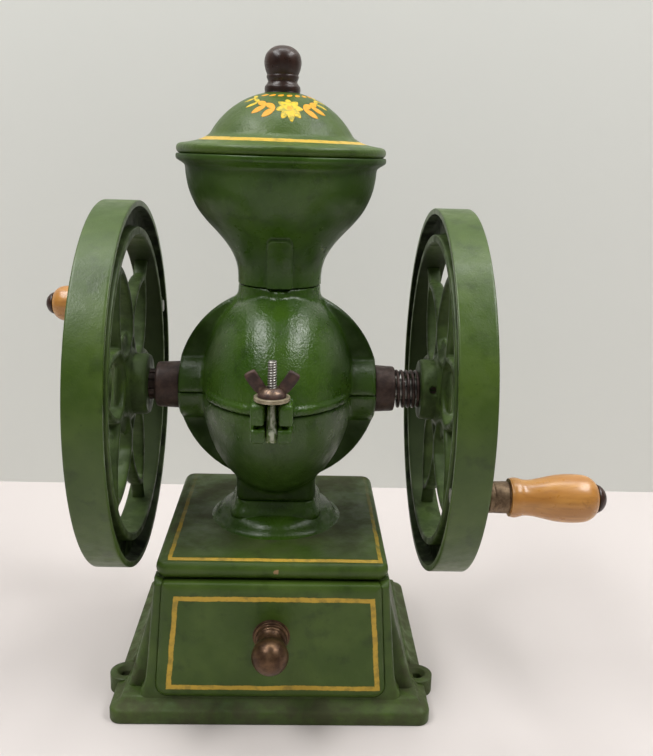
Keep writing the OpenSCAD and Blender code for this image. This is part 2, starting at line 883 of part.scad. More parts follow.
module fixed_burr_screws() {
  head_d = 2 * fixed_burr_screw_d;
  color(steel)
    at_shaft()
      fixed_burr_screw_places() {
        bar_x(burr_face + 1.5, burr_face + burr_t / 2, head_d);
        bar_x(burr_face + burr_t / 2 - weld, 6, fixed_burr_screw_d);
      }
}

module rotating_burr() {
  groove_t = 1.5;
  color(steel)
    at_shaft()
      difference() {
        bar_x(rotating_burr_x0, rotating_burr_x1, rotating_burr_d);
        bar_x(rotating_burr_x0 - weld, rotating_burr_x1 + weld, shaft_d);
        keyway();
        grooves(rotating_burr_x1 - groove_t, rotating_burr_x1 + weld, rotating_burr_d);
      }
}

// Two-start screw that carries the beans to the burrs
module feed_worm() {
  core_d = 25;
  blade_t = 5;
  turns = 1.5;
  length = worm_x1 - worm_x0;
  color(steel)
    at_shaft()
      difference() {
        union() {
          bar_x(worm_x0, worm_x1, core_d);
          translate([worm_x0, 0, 0])
            rotate([0, 90, 0])
              linear_extrude(length, twist = 360 * turns, slices = 24, segments = 4)
                square([worm_d, blade_t], center = true);
        }
        bar_x(worm_x0 - weld, worm_x1 + weld, shaft_d);
        keyway();
      }
}

module adjusting_nut() {
  rib_count = 12;
  x1 = -left_hub_x + clear + adjust_nut_l;
  color(brown)
    at_shaft()
      difference() {
        bar_x(x1 - adjust_nut_l, x1, adjust_nut_d);
        bar_x(x1 - adjust_nut_l - weld, x1 + weld, shaft_d + 2 * running);
        for (i = [0:rib_count - 1])
          rotate([360 * i / rib_count, 0, 0])
            translate([0, 0, adjust_nut_d / 2])
              bar_x(x1 - adjust_nut_l - weld, x1 + weld, 2.2);
      }
}

// Centre line of the spring, at the share t of its length
spring_mean_r = spring_d / 2 - spring_wire_d / 2;
spring_seat = 0.1;
spring_run = spring_l - spring_wire_d - spring_seat;
spring_rings = round(8 * spring_turns);
spring_sides = 6;
function spring_at(t) =
  [spring_run * t, spring_mean_r * cos(360 * spring_turns * t), spring_mean_r * sin(360 * spring_turns * t)];

// Point of the wire's skin at ring i and side k
function spring_skin(i, k) =
  let (t = i / spring_rings)
  let (turn = 360 * spring_turns * t)
  let (out = spring_wire_d / 2 * cos(360 * k / spring_sides))
  let (side = spring_wire_d / 2 * sin(360 * k / spring_sides))
  spring_at(t) + [side, out * cos(turn), out * sin(turn)];

spring_points = [for (i = [0:spring_rings], k = [0:spring_sides - 1]) spring_skin(i, k)];
spring_near = 6;
spring_gap = min([for (i = [0:spring_rings - spring_near], j = [i + spring_near:spring_rings])
  norm(spring_at(i / spring_rings) - spring_at(j / spring_rings))]) - spring_wire_d;
echo(spring_least_gap = spring_gap);

module thrust_spring() {
  n = spring_sides;
  walls = [for (i = [0:spring_rings - 1], k = [0:n - 1], half = [0, 1])
    let (a = i * n + k)
    let (b = i * n + (k + 1) % n)
    half == 0 ? [a, b, b + n] : [a, b + n, a + n]];
  last = spring_rings * n;
  first_cap = [for (k = [1:n - 2]) [0, k + 1, k]];
  last_cap = [for (k = [1:n - 2]) [last, last + k, last + k + 1]];
  color(brown)
    translate([boss_x + right_collar_l + clear + spring_wire_d / 2, 0, shaft_z])
      polyhedron(points = spring_points, faces = concat(walls, first_cap, last_cap), convexity = 10);
}

// Pointed oval on the X axis between two radii
module leaf_shape(r0, r1, w) {
  half_l = (r1 - r0) / 2;
  half_w = w / 2;
  arc_r = (half_l * half_l + half_w * half_w) / (2 * half_w);
  translate([(r0 + r1) / 2, 0])
    intersection() {
      translate([0, arc_r - half_w])
        circle(r = arc_r);
      translate([0, half_w - arc_r])
        circle(r = arc_r);
    }
}

module leaf_places() {
  for (i = [0:leaf_count - 1])
    rotate(crank_angle + 180 / leaf_count + 360 * i / leaf_count)
      children();
}

module wheel_lace() {
  leaf_foot_r = hub_d / 2 - leaf_rib_w;
  difference() {
    circle(r = ring_r);
    difference() {
      circle(r = ring_in);
      circle(r = vee_r);
      leaf_places() {
        leaf_shape(leaf_foot_r, leaf_tip_r, leaf_w);
        translate([leaf_tip_r - leaf_rib_w, -leaf_rib_w / 2])
          square([ring_in - leaf_tip_r + 2 * leaf_rib_w, leaf_rib_w]);
      }
    }
    leaf_places()
      leaf_shape(leaf_foot_r + leaf_rib_w, leaf_tip_r - leaf_rib_w, leaf_w - 2 * leaf_rib_w);
  }
  circle(r = plate_r);
}

// Flywheel that faces +X, with the inner edge of its rim at x = 0
module wheel(crank_at, screw_at) {
  ring_top = 1;
  ring_low = web_floor + web_thick + 4;
  boss_top = 3;
  difference() {
    union() {
      stand_on_x()
        rotate_extrude($fn = 144) {
          translate([wheel_r - rim_t, 0])
            square([rim_t, tread_w]);
          translate([ring_r, web_floor])
            square([wheel_r - ring_r - rim_t / 2, web_thick]);
          translate([ring_in, ring_top + ring_w / 2])
            square([ring_w, ring_low - ring_top - ring_w / 2]);
          translate([ring_r, ring_top + ring_w / 2])
            circle(d = ring_w, $fn = 32);
        }
      translate([web_floor - weld, 0, 0])
        stand_on_x()
          linear_extrude(leaf_depth)
            wheel_lace();
      bar_x(hub_bevel - hub_nose, hub_end, hub_d);
      bar_x(-hub_nose, hub_end, hub_d - 2 * hub_bevel);
      translate([-hub_nose, 0, 0])
        rotate([0, 90, 0])
          cylinder(d1 = hub_d - 2 * hub_bevel, d2 = hub_d, h = hub_bevel);
      translate([web_floor - hub_flare_h, 0, 0])
        rotate([0, 90, 0])
          cylinder(d1 = hub_d, d2 = hub_d + 2 * hub_flare_w, h = hub_flare_h);
      rotate([crank_at, 0, 0])
        translate([0, crank_r, 0])
          bar_x(boss_top, tread_w, crank_boss_d);
    }
    bar_x(-far / 2, far / 2, shaft_d);
    rotate([crank_at, 0, 0])
      translate([0, crank_r, 0])
        bar_x(-far / 2, far / 2, spindle_d);
    rotate([screw_at, 0, 0])
      translate([set_screw_w, 0, 0])
        rotate([-90, 0, 0])
          cylinder(d = set_screw_d, h = hub_d, $fn = 48);
  }
}

module on_left() {
  translate([-left_rim_x, 0, shaft_z])
    mirror([1, 0, 0])
      children();
}

module on_right() {
  translate([right_rim_x, 0, shaft_z])
    children();
}

module left_flywheel() {
  color(green)
    on_left()
      wheel(crank_angle, set_screw_angle + 180);
}

module right_flywheel() {
  color(green)
    on_right()
      wheel(crank_angle + 180, set_screw_angle);
}

module set_screw(at) {
  sunk = 4;
  slot = 1.2;
  rotate([at, 0, 0])
    translate([set_screw_w, 0, 0])
      rotate([-90, 0, 0])
        difference() {
          translate([0, 0, shaft_r])
            cylinder(d = set_screw_d, h = hub_d / 2 - sunk - shaft_r, $fn = 48);
          translate([-set_screw_d, -slot / 2, hub_d / 2 - sunk - slot])
            cube([2 * set_screw_d, slot, 2 * slot]);
        }
}

module hub_set_screws() {
  color(brown) {
    on_left()
      set_screw(set_screw_angle + 180);
    on_right()
      set_screw(set_screw_angle);
  }
}

module at_crank(angle) {
  rotate([angle, 0, 0])
    translate([0, crank_r, 0])
      children();
}

module spindle() {
  tail = 1.5;
  color(steel)
    bar_x(tail, ball_start + end_ball_l / 2, spindle_d);
}

module end_ball() {
  steps = 10;
  color(dark_wood)
    difference() {
      translate([ball_start, 0, 0])
        rotate([0, 90, 0])
          rotate_extrude()
            polygon(concat([[0, 0]], [for (i = [0:steps]) let (a = 90 * i / steps)
              [end_ball_d / 2 * cos(a), end_ball_l * sin(a)]]));
      bar_x(0, ball_start + end_ball_l / 2, spindle_d);
    }
}

module ferrule() {
  edge = 0.8;
  color(copper)
    difference() {
      union() {
        bar_x(ferrule_start + edge, grip_start, ferrule_d);
        bar_x(ferrule_start, grip_start, ferrule_d - 2 * edge);
      }
      bar_x(0, far, spindle_d + 2 * running);
    }
}

module grip() {
  collar_r = 0.81 * grip_d / 2;
  waist_r = 0.73 * grip_d / 2;
  belly = 0.7 * grip_l;
  cap_angle = 56;
  steps = 28;
  cap_steps = 10;
  stem = turned([[0, 0.76 * grip_d / 2], [0.06 * grip_l, collar_r], [0.17 * grip_l, waist_r],
    [belly, grip_d / 2]], steps);
  cap = [for (i = [1:cap_steps]) let (a = cap_angle * i / cap_steps)
    [grip_d / 2 * cos(a), belly + (grip_l - belly) * sin(a) / sin(cap_angle)]];
  color(honey)
    difference() {
      translate([grip_start, 0, 0])
        rotate([0, 90, 0])
          rotate_extrude()
            polygon(concat([[0, 0]], stem, cap, [[0, grip_l]]));
      bar_x(0, far, spindle_d + 2 * running);
    }
}

module left_spindle() {
  on_left()
    at_crank(crank_angle)
      spindle();
}

module right_spindle() {
  on_right()
    at_crank(crank_angle + 180)
      spindle();
}

module left_end_ball() {
  on_left()
    at_crank(crank_angle)
      end_ball();
}

module right_end_ball() {
  on_right()
    at_crank(crank_angle + 180)
      end_ball();
}

module left_ferrule() {
  on_left()
    at_crank(crank_angle)
      ferrule();
}

module right_ferrule() {
  on_right()
    at_crank(crank_angle + 180)
      ferrule();
}

module left_grip() {
  on_left()
    at_crank(crank_angle)
      grip();
}

module right_grip() {
  on_right()
    at_crank(crank_angle + 180)
      grip();
}

module at_clamp(z) {
  translate([clamp_x, -clamp_front, z])
    children();
}

module swing_bolt_pin() {
  color(brown)
    at_clamp(pin_z)
      bar_x(-lug_w / 2, lug_w / 2, clamp_pin_d);
}

module swing_bolt() {
  color(steel)
    at_clamp(pin_z)
      difference() {
        union() {
          bar_x(-eye_t / 2, eye_t / 2, eye_d);
          cylinder(d = bolt_d, h = bolt_l);
        }
        bar_x(-eye_t, eye_t, clamp_pin_d + 2 * running);
      }
}

module clamp_washer() {
  color(tin)
    at_clamp(washer_z)
      difference() {
        cylinder(d = washer_d, h = washer_t);
        translate([0, 0, -weld])
          cylinder(d = bolt_d + 2 * clear, h = washer_t + 2 * weld);
      }
}

module wing_nut() {
  hub_h = 6;
  wing_t = 4;
  wing_top = 17;
  tip_w = 7;
  color(brown)
    at_clamp(wing_z)
      difference() {
        union() {
          cylinder(d1 = wing_hub_d, d2 = 0.76 * wing_hub_d, h = hub_h);
          translate([0, wing_t / 2, 0])
            rotate([90, 0, 0])
              linear_extrude(wing_t)
                for (s = [0, 1])
                  mirror([s, 0])
                    polygon([[bolt_d / 2 + weld, weld], [wing_hub_d / 2, weld], [wing_span / 2, wing_top - 4],
                      [wing_span / 2 - tip_w + 1, wing_top], [bolt_d / 2 + weld, hub_h]]);
        }
        translate([0, 0, -weld])
          cylinder(d = bolt_d + 4 * running, h = far);
      }
}

module hinge_pin() {
  tail = 1.5;
  reach = 14.3 + tail;
  color(brown)
    translate([0, hinge_back, shaft_z])
      bar_x(-reach, reach, hinge_pin_d);
}

module drawer_screw_places() {
  for (sx = [-1, 1], sz = [0.2, 0.8])
    translate([sx * tray_w / 3, -drawer_back, tray_z + sz * tray_h])
      rotate([90, 0, 0])
        children();
}

module drawer_front() {
  screw_depth = drawer_front_t - 3;
  color(green)
    difference() {
      translate([0, -drawer_back, 0])
        rotate([90, 0, 0])
          linear_extrude(drawer_front_t)
            drawer_outline(0);
      translate([0, 0, knob_z])
        rotate([90, 0, 0])
          cylinder(d = knob_screw_d, h = far, $fn = 32);
      drawer_screw_places()
        translate([0, 0, -weld])
          cylinder(d = drawer_screw_d, h = screw_depth + weld, $fn = 32);
    }
}

module drawer_tray() {
  color(tin)
    difference() {
      translate([-tray_w / 2, -drawer_back, tray_z])
        cube([tray_w, tray_d, tray_h]);
      translate([-tray_w / 2 + tray_wall, -drawer_back + tray_wall, tray_z + tray_wall])
        cube([tray_w - 2 * tray_wall, tray_d - 2 * tray_wall, far]);
      drawer_screw_places()
        translate([0, 0, -2 * tray_wall])
          cylinder(d = drawer_screw_d, h = 3 * tray_wall, $fn = 32);
      translate([0, -drawer_back - weld, knob_z])
        rotate([-90, 0, 0])
          cylinder(d = 3 * knob_screw_d, h = tray_wall + 2 * weld, $fn = 48);
    }
}

module drawer_screws() {
  head_h = 1.8;
  color(steel)
    drawer_screw_places()
      translate([0, 0, -tray_wall - head_h]) {
        cylinder(d = 2 * drawer_screw_d, h = head_h, $fn = 48);
        cylinder(d = drawer_screw_d, h = head_h + tray_wall + drawer_front_t - 4, $fn = 32);
      }
}

// Turned knob that points to the user
module drawer_knob() {
  rose_r = 0.48 * drawer_knob_d;
  ring_r0 = 0.42 * drawer_knob_d;
  waist_r = 0.33 * drawer_knob_d;
  belly = 0.66 * drawer_knob_l;
  steps = 30;
  cap_steps = 12;
  stem = turned([[0, rose_r], [0.08 * drawer_knob_l, rose_r], [0.14 * drawer_knob_l, ring_r0],
    [0.2 * drawer_knob_l, ring_r0], [0.33 * drawer_knob_l, waist_r], [belly, drawer_knob_d / 2]], steps);
  cap = [for (i = [1:cap_steps]) let (a = 90 * i / cap_steps)
    [drawer_knob_d / 2 * cos(a), belly + (drawer_knob_l - belly) * sin(a)]];
  color(copper)
    translate([0, -drawer_face, knob_z])
      rotate([90, 0, 0])
        difference() {
          rotate_extrude()
            polygon(concat([[0, 0]], stem, cap));
          translate([0, 0, -weld])
            cylinder(d = knob_screw_d, h = knob_screw_grip + weld, $fn = 32);
        }
}

module drawer_knob_screw() {
  head_h = 2.2;
  color(steel)
    translate([0, -drawer_back, knob_z])
      rotate([90, 0, 0])
        translate([0, 0, -head_h]) {
          cylinder(d = 2 * knob_screw_d, h = head_h, $fn = 48);
          cylinder(d = knob_screw_d, h = head_h + drawer_front_t + knob_screw_grip - weld, $fn = 32);
        }
}

base_casting();
foot_bolts();
lower_housing();
left_bush();
right_bush();
fixed_burr();
fixed_burr_screws();
swing_bolt_pin();
hinge_pin();
drawer_front();
drawer_tray();
drawer_knob();
drawer_knob_screw();
drawer_screws();
main_shaft();
shaft_key();
left_flywheel();
right_flywheel();
hub_set_screws();
rotating_burr();
feed_worm();
thrust_spring();
left_spindle();
right_spindle();
left_end_ball();
right_end_ball();
left_grip();
left_ferrule();
right_grip();
right_ferrule();
adjusting_nut();
upper_housing();
hopper();
hopper_screw();
lid();
lid_knob();
lid_knob_screw();
swing_bolt();
clamp_washer();
wing_nut();
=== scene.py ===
# %% [markdown]
# # A two-wheel counter coffee mill
# This lesson dresses a imported CAD model of an old cast-iron coffee mill. The CAD gives every piece its
# place and size; here each visible piece gets the soft edges, paint, wood and wear of the real one.
# We load the model first. Nothing we add may grow past it.

# %% Load the frame
import bmesh
import bpy
import numpy as np
from mathutils import Matrix


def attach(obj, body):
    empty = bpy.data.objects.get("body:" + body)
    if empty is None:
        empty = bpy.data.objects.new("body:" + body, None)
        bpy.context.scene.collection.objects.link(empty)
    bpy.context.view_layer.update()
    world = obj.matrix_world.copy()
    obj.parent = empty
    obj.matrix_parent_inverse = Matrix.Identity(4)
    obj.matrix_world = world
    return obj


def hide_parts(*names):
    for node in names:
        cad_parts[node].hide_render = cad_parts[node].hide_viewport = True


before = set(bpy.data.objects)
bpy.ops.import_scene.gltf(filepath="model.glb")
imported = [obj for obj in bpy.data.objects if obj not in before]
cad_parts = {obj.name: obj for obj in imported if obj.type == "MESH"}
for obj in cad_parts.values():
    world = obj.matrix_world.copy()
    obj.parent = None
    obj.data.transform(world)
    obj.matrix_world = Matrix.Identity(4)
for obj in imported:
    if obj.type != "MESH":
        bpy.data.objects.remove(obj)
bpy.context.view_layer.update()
MM = 0.001

# %% [markdown]
# ## The camera
# The photograph was taken from a little above the hopper, looking down by about fifteen degrees. A camera
# could be aimed by eye, but its place was worked out from known points of the mill, so we only turn those
# angles into three directions and put them in the camera's matrix.

# %% Camera
# The eye in millimetres, the turns in radians, the focal length in pixels of the photograph.
EYE = np.array([13.99, -636.07, 401.84])
YAW, PITCH, ROLL = 0.0359, -0.2589, 0.0302
FOCAL_PX, IMAGE_H = 862.96, 756
SENSOR = 36.0


def camera_axes(yaw, pitch, roll):
    """Right, up and backward directions: forward from yaw and pitch, then right and up turned by the roll."""
    forward = np.array([np.sin(yaw) * np.cos(pitch), np.cos(yaw) * np.cos(pitch), np.sin(pitch)])
    level = np.array([np.cos(yaw), -np.sin(yaw), 0.0])
    above = np.cross(level, forward)
    right = np.cos(roll) * level + np.sin(roll) * above
    up = -np.sin(roll) * level + np.cos(roll) * above
    return right, up, -forward


lens = bpy.data.cameras.new("photo_camera")
lens.sensor_fit = "VERTICAL"
lens.sensor_height = SENSOR
lens.lens = FOCAL_PX / IMAGE_H * SENSOR
camera = bpy.data.objects.new("photo_camera", lens)
bpy.context.scene.collection.objects.link(camera)
camera_matrix = np.eye(4)
camera_matrix[:3, :3] = np.stack(camera_axes(YAW, PITCH, ROLL), axis=1)
camera_matrix[:3, 3] = EYE * MM
camera.matrix_world = Matrix(camera_matrix.tolist())
bpy.context.scene.camera = camera
print("lens", round(lens.lens, 2), "mm")

# %% [markdown]
# ## Table, wall and light
# The mill stands on a white table in front of a pale wall, under a bright ceiling. Large area lamps copy the
# soft ceiling light, and a pale world fills the shadows, so that the gloss of the enamel has something to show.

# %% Stage
TABLE_BACK, STAGE_REACH, WALL_HIGH = 0.357, 2.4, 2.2
TABLE_WHITE, TABLE_ROUGH = (0.63, 0.58, 0.56), 0.6
WALL_PALE, WALL_ROUGH = (0.695, 0.705, 0.665), 0.8


def stage_sheet(name, corners, colour, roughness, one_sided=False):
    """A flat sheet through four corners, in metres. A one-sided sheet can be looked through
    from behind, so that the back of the mill can be seen too."""
    mesh = bpy.data.meshes.new(name)
    mesh.from_pydata(corners, [], [(0, 1, 2, 3)])
    sheet = bpy.data.objects.new(name, mesh)
    bpy.context.scene.collection.objects.link(sheet)
    paint = bpy.data.materials.new(name)
    paint.use_nodes = True
    shader = paint.node_tree.nodes["Principled BSDF"]
    shader.inputs["Base Color"].default_value = (*colour, 1)
    shader.inputs["Roughness"].default_value = roughness
    if one_sided:
        nodes, links = paint.node_tree.nodes, paint.node_tree.links
        mix = nodes.new("ShaderNodeMixShader")
        links.new(nodes.new("ShaderNodeNewGeometry").outputs["Backfacing"], mix.inputs[0])
        links.new(shader.outputs["BSDF"], mix.inputs[1])
        links.new(nodes.new("ShaderNodeBsdfTransparent").outputs["BSDF"], mix.inputs[2])
        links.new(mix.outputs["Shader"], nodes["Material Output"].inputs["Surface"])
    mesh.materials.append(paint)
    return sheet


floor_corners = [(x * STAGE_REACH, y * STAGE_REACH, 0) for x, y in ((-1, -1), (1, -1), (1, 1), (-1, 1))]
wall_corners = [(x * STAGE_REACH, TABLE_BACK, z) for x, z in ((-1, 0), (1, 0), (1, WALL_HIGH), (-1, WALL_HIGH))]
stage_sheet("table", floor_corners, TABLE_WHITE, TABLE_ROUGH)
stage_sheet("wall", wall_corners, WALL_PALE, WALL_ROUGH, True)
print("table and wall reach", STAGE_REACH, "m to each side")

# %% Lights
LAMP_AIM = (0.0, 0.0, 0.25)
LAMP_BACKWARD = (0.0, 1.0, 0.001)
ROOM_COLOUR, ROOM_STRENGTH = (1.0, 0.985, 0.96, 1), 0.18


def soft_lamp(name, place, aim, width, height, power):
    """A rectangular lamp at a place in metres that faces the point aim, its width square to LAMP_BACKWARD."""
    light = bpy.data.lights.new(name, "AREA")
    light.shape = "RECTANGLE"
    light.size, light.size_y, light.energy = width, height, power
    lamp = bpy.data.objects.new(name, light)
    bpy.context.scene.collection.objects.link(lamp)
    back = np.array(place, float) - np.array(aim, float)
    back /= np.linalg.norm(back)
    side = np.cross(LAMP_BACKWARD, back)
    side /= np.linalg.norm(side)
    matrix = np.eye(4)
    matrix[:3, :3] = np.stack([side, np.cross(back, side), back], axis=1)
    matrix[:3, 3] = place
    lamp.matrix_world = Matrix(matrix.tolist())
    return lamp


for name, place, width, height, power in (("ceiling_left", (-0.86, -0.45, 1.85), 0.50, 1.45, 26.5),
                                          ("ceiling_right", (1.15, -0.32, 1.85), 0.52, 1.45, 26.5),
                                          ("ceiling_back", (0.1, 0.1, 2.3), 1.4, 0.5, 15)):
    soft_lamp(name, place, LAMP_AIM, width, height, power)
world = bpy.data.worlds.new("room")
world.use_nodes = True
room = world.node_tree.nodes["Background"].inputs
room["Color"].default_value = ROOM_COLOUR
room["Strength"].default_value = ROOM_STRENGTH
bpy.context.scene.world = world
bpy.context.scene.view_settings.view_transform = "Standard"
print("lamps:", len(bpy.data.lights))

# %% [markdown]
# ## Surfaces from arrays
# Every new piece is a grid of points: two parameters in, a place out. The helpers below number the grid's
# squares, put the arrays into a mesh, close its seams and poles, and turn a profile round an axis as a lathe
# does. Writing them once keeps the steps that follow short.

# %% Grid helpers
# In metres: points closer than the first length become one, and edges shorter than the second are dissolved.
MERGE_M, SLIVER_M = 2e-6, 1e-6


def grid_quads(rows, cols, wrap_rows, wrap_cols):
    """Corner numbers of the squares of a rows by cols grid, joined end to end where asked."""
    i, j = np.meshgrid(np.arange(rows - (not wrap_rows)), np.arange(cols - (not wrap_cols)), indexing="ij")
    down, right = (i + 1) % rows, (j + 1) % cols
    return np.stack([i * cols + j, down * cols + j, down * cols + right, i * cols + right], -1).reshape(-1, 4)


def lay_mesh(name, points, quads):
    """Puts points in millimetres and square corners into a mesh, merges doubles, turns faces outward."""
    mesh = bpy.data.meshes.new(name)
    mesh.vertices.add(len(points))
    mesh.vertices.foreach_set("co", np.ascontiguousarray(points * MM, np.float32).ravel())
    mesh.loops.add(quads.size)
    mesh.loops.foreach_set("vertex_index", np.ascontiguousarray(quads, np.int32).ravel())
    mesh.polygons.add(len(quads))
    mesh.polygons.foreach_set("loop_start", np.arange(0, quads.size, 4, dtype=np.int32))
    mesh.update(calc_edges=True)
    shape = bmesh.new()
    shape.from_mesh(mesh)
    bmesh.ops.remove_doubles(shape, verts=shape.verts, dist=MERGE_M)
    bmesh.ops.dissolve_degenerate(shape, edges=shape.edges, dist=SLIVER_M)
    bmesh.ops.recalc_face_normals(shape, faces=shape.faces)
    shape.to_mesh(mesh)
    shape.free()
    mesh.polygons.foreach_set("use_smooth", np.ones(len(mesh.polygons), bool))
    piece = bpy.data.objects.new(name, mesh)
    bpy.context.scene.collection.objects.link(piece)
    return piece


def joined(*grids):
    """Several (points, quads) grids as one."""
    counts = np.cumsum([0] + [len(points) for points, _ in grids])
    return (np.concatenate([points for points, _ in grids]),
            np.concatenate([quads + start for (_, quads), start in zip(grids, counts)]))


def flowing(knots, per_span):
    """A curve that runs smoothly through the knots: on each span a cubic whose slopes are half the step
    between the neighbours. A knot given twice makes a corner."""
    p = np.asarray(knots, float)
    ends = np.concatenate([p[:1], p, p[-1:]])
    a, b, c, d = ends[:-3, None], ends[1:-2, None], ends[2:-1, None], ends[3:, None]
    t = (np.arange(per_span) / per_span)[None, :, None]
    curve = b + t * ((c - a) / 2 + t * ((a - 2.5 * b + 2 * c - d / 2) + t * ((d - a) / 2 + 1.5 * (b - c))))
    return np.concatenate([curve.reshape(-1, p.shape[1]), p[-1:]])


def turned_line(knots, per_span):
    """A lathe outline that flows through knots of station and radius; the radius never falls under zero."""
    line = flowing(knots, per_span)
    line[:, 1] = np.maximum(line[:, 1], 0)
    return line


def turned_grid(outline, centre, axis, start, sides, loop=False, crowd=0.0):
    """Lathe: a point with station s and radius r goes to centre + s*axis + r*(cos a*start + sin a*side). The
    angle a is t - crowd*sin t, so that the columns crowd together round the start direction where asked."""
    outline = np.asarray(outline, float)
    axis, start = np.asarray(axis, float), np.asarray(start, float)
    side = np.cross(axis, start)
    even = np.arange(sides) * 2 * np.pi / sides
    angle = even - crowd * np.sin(even)
    spoke = np.cos(angle)[:, None] * start + np.sin(angle)[:, None] * side
    points = (np.asarray(centre, float) + outline[:, None, 0:1] * axis + outline[:, None, 1:2] * spoke[None])
    return points.reshape(-1, 3), grid_quads(len(outline), sides, loop, True)


def dress(piece, body, slot, paint, *nodes):
    """Gives a piece its paint, the body it rides on and the CAD nodes it stands for; slot is not used."""
    piece.data.materials.clear()
    piece.data.materials.append(paint)
    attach(piece, body)
    if nodes:
        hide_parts(*nodes)
    print(piece.name, len(piece.data.polygons), "faces")
    return piece


UP, FRONT, RIGHT = np.array([0.0, 0, 1]), np.array([0.0, -1, 0]), np.array([1.0, 0, 0])

# %% [markdown]
# ## Finishes
# Paint and wood look real when they are not even: enamel over rough iron is bumpy, darker in places and rubbed
# at the edges. Each finish below is a small tree of noise nodes on Object coordinates, so the pattern keeps its
# size in metres and stays with the piece when it moves.

# %% Finish helper
X, Y, Z = range(3)


class Finish:
    """A material with a Principled shader and short ways to add the nodes that feed it."""

    def __init__(self, name, **fixed):
        self.material = bpy.data.materials.new(name)
        self.material.use_nodes = True
        self.tree = self.material.node_tree
        self.shader = self.tree.nodes["Principled BSDF"]
        for socket, value in fixed.items():
            self.shader.inputs[socket.replace("_", " ")].default_value = value
        self.place = self.tree.nodes.new("ShaderNodeTexCoord").outputs["Object"]

    def add(self, kind, inputs, output=0, **settings):
        """A node whose inputs are set to numbers or linked to other nodes' outputs."""
        node = self.tree.nodes.new(kind)
        for key, value in settings.items():
            setattr(node, key, value)
        for key, value in inputs.items():
            if isinstance(value, bpy.types.NodeSocket):
                self.tree.links.new(value, node.inputs[key])
            else:
                node.inputs[key].default_value = value
        return node.outputs[output]

    def noise(self, size, detail, rough=0.55, stretch=None):
        """Noise whose lumps are about size millimetres, stretched along the axes where asked."""
        place = self.place
        if stretch:
            place = self.add("ShaderNodeMapping", {"Vector": place, "Scale": stretch})
        return self.add("ShaderNodeTexNoise", {"Vector": place, "Scale": 1 / (size * MM), "Detail": detail,
                                               "Roughness": rough})

    def span(self, value, low, high, to_low=0.0, to_high=1.0):
        """A value carried from one range to another, smoothly, and held at its ends."""
        return self.add("ShaderNodeMapRange", {"Value": value, "From Min": low, "From Max": high,
                                               "To Min": to_low, "To Max": to_high},
                        interpolation_type="SMOOTHSTEP")

    def math(self, operation, *values):
        """One Math node on numbers or outputs."""
        return self.add("ShaderNodeMath", dict(enumerate(values)), operation=operation)

    def less(self, value, amount):
        """Value minus amount."""
        return self.math("SUBTRACT", value, amount)

    def product(self, first, *others):
        """Several shares multiplied."""
        for other in others:
            first = self.math("MULTIPLY", first, other)
        return first

    def most(self, first, *others):
        """The largest of several shares."""
        for other in others:
            first = self.math("MAXIMUM", first, other)
        return first

    def off_line(self, a, b):
        """Distance from a line: the root of two squared offsets' sum."""
        return self.math("SQRT", self.math("ADD", self.product(a, a), self.product(b, b)))

    def axis(self, index):
        """The place along one axis, in metres."""
        return self.add("ShaderNodeSeparateXYZ", {"Vector": self.place}, index)

    def along(self, index, low, high, to_low=0.0, to_high=1.0):
        """A share that goes from to_low to to_high between two places on an axis, in millimetres."""
        return self.span(self.axis(index), low * MM, high * MM, to_low, to_high)

    def near(self, distance, low, high, to_low=0.0, to_high=1.0):
        """A share that goes from to_low to to_high between two distances, in millimetres."""
        return self.span(distance, low * MM, high * MM, to_low, to_high)

    def blend(self, share, first, second):
        """The first colour where share is 0 and the second where it is 1."""
        node = self.tree.nodes.new("ShaderNodeMix")
        node.data_type = "RGBA"
        for socket, value in ((node.inputs[0], share), (node.inputs[6], first), (node.inputs[7], second)):
            if isinstance(value, bpy.types.NodeSocket):
                self.tree.links.new(value, socket)
            else:
                socket.default_value = value if isinstance(value, float) else (*value, 1)
        return node.outputs[2]

    def wire(self, **sockets):
        """Links outputs to the shader's sockets, named with _ for a space."""
        for socket, value in sockets.items():
            self.tree.links.new(value, self.shader.inputs[socket.replace("_", " ")])

    def bump(self, height, depth, strength, below=None):
        """A bump of about depth millimetres, over another bump where one is given."""
        inputs = {"Height": height, "Distance": depth * MM, "Strength": strength}
        if below is not None:
            inputs["Normal"] = below
        return self.add("ShaderNodeBump", inputs)


# %% [markdown]
# ## Green enamel with ochre lines
# The castings are painted a leaf green over iron that was never smoothed, and a brush added ochre lines on the
# lid, the base and the drawer. One function makes the enamel; a mask adds the brush work, with a little
# noise on each line so that it wanders as a hand does.

# %% Green enamel
# Greens run from the deep colour of hollows over the plain one to the light one of thin paint.
GREEN_LIGHT = (0.057, 0.100, 0.012)
WHEEL_GREENS = (0.018, 0.038, 0.003), (0.037, 0.073, 0.006), GREEN_LIGHT
WORN_GREENS = (0.021, 0.043, 0.004), (0.043, 0.083, 0.008), (0.064, 0.110, 0.015)
# A darker copy of the same greens for the case, hopper and step, as painted shade over these castings.
CASE_SHADED_GREENS = (0.014, 0.036, 0.002), (0.027, 0.069, 0.004), (0.042, 0.092, 0.008)
OCHRE, OCHRE_THIN = (0.56, 0.36, 0.040), (0.36, 0.25, 0.035)
# The first colour below is brown dirt on the base; the second is painted shade for the case and hopper.
GRIME, PAINTED_SHADE_GREEN = (0.066, 0.066, 0.040), (0.011, 0.024, 0.002)
# The first colour below is grey dust on the lace; the second is dark: painted shade in the wheels' channel and on
# the ring's far side, and dirt in the lace's blotches.
LACE_DUST, CHANNEL_DARK = (0.040, 0.055, 0.026), (0.011, 0.013, 0.008)
CHIP, BARE_IRON = (0.42, 0.40, 0.33), (0.30, 0.20, 0.09)
SHAFT_Z = 226.0


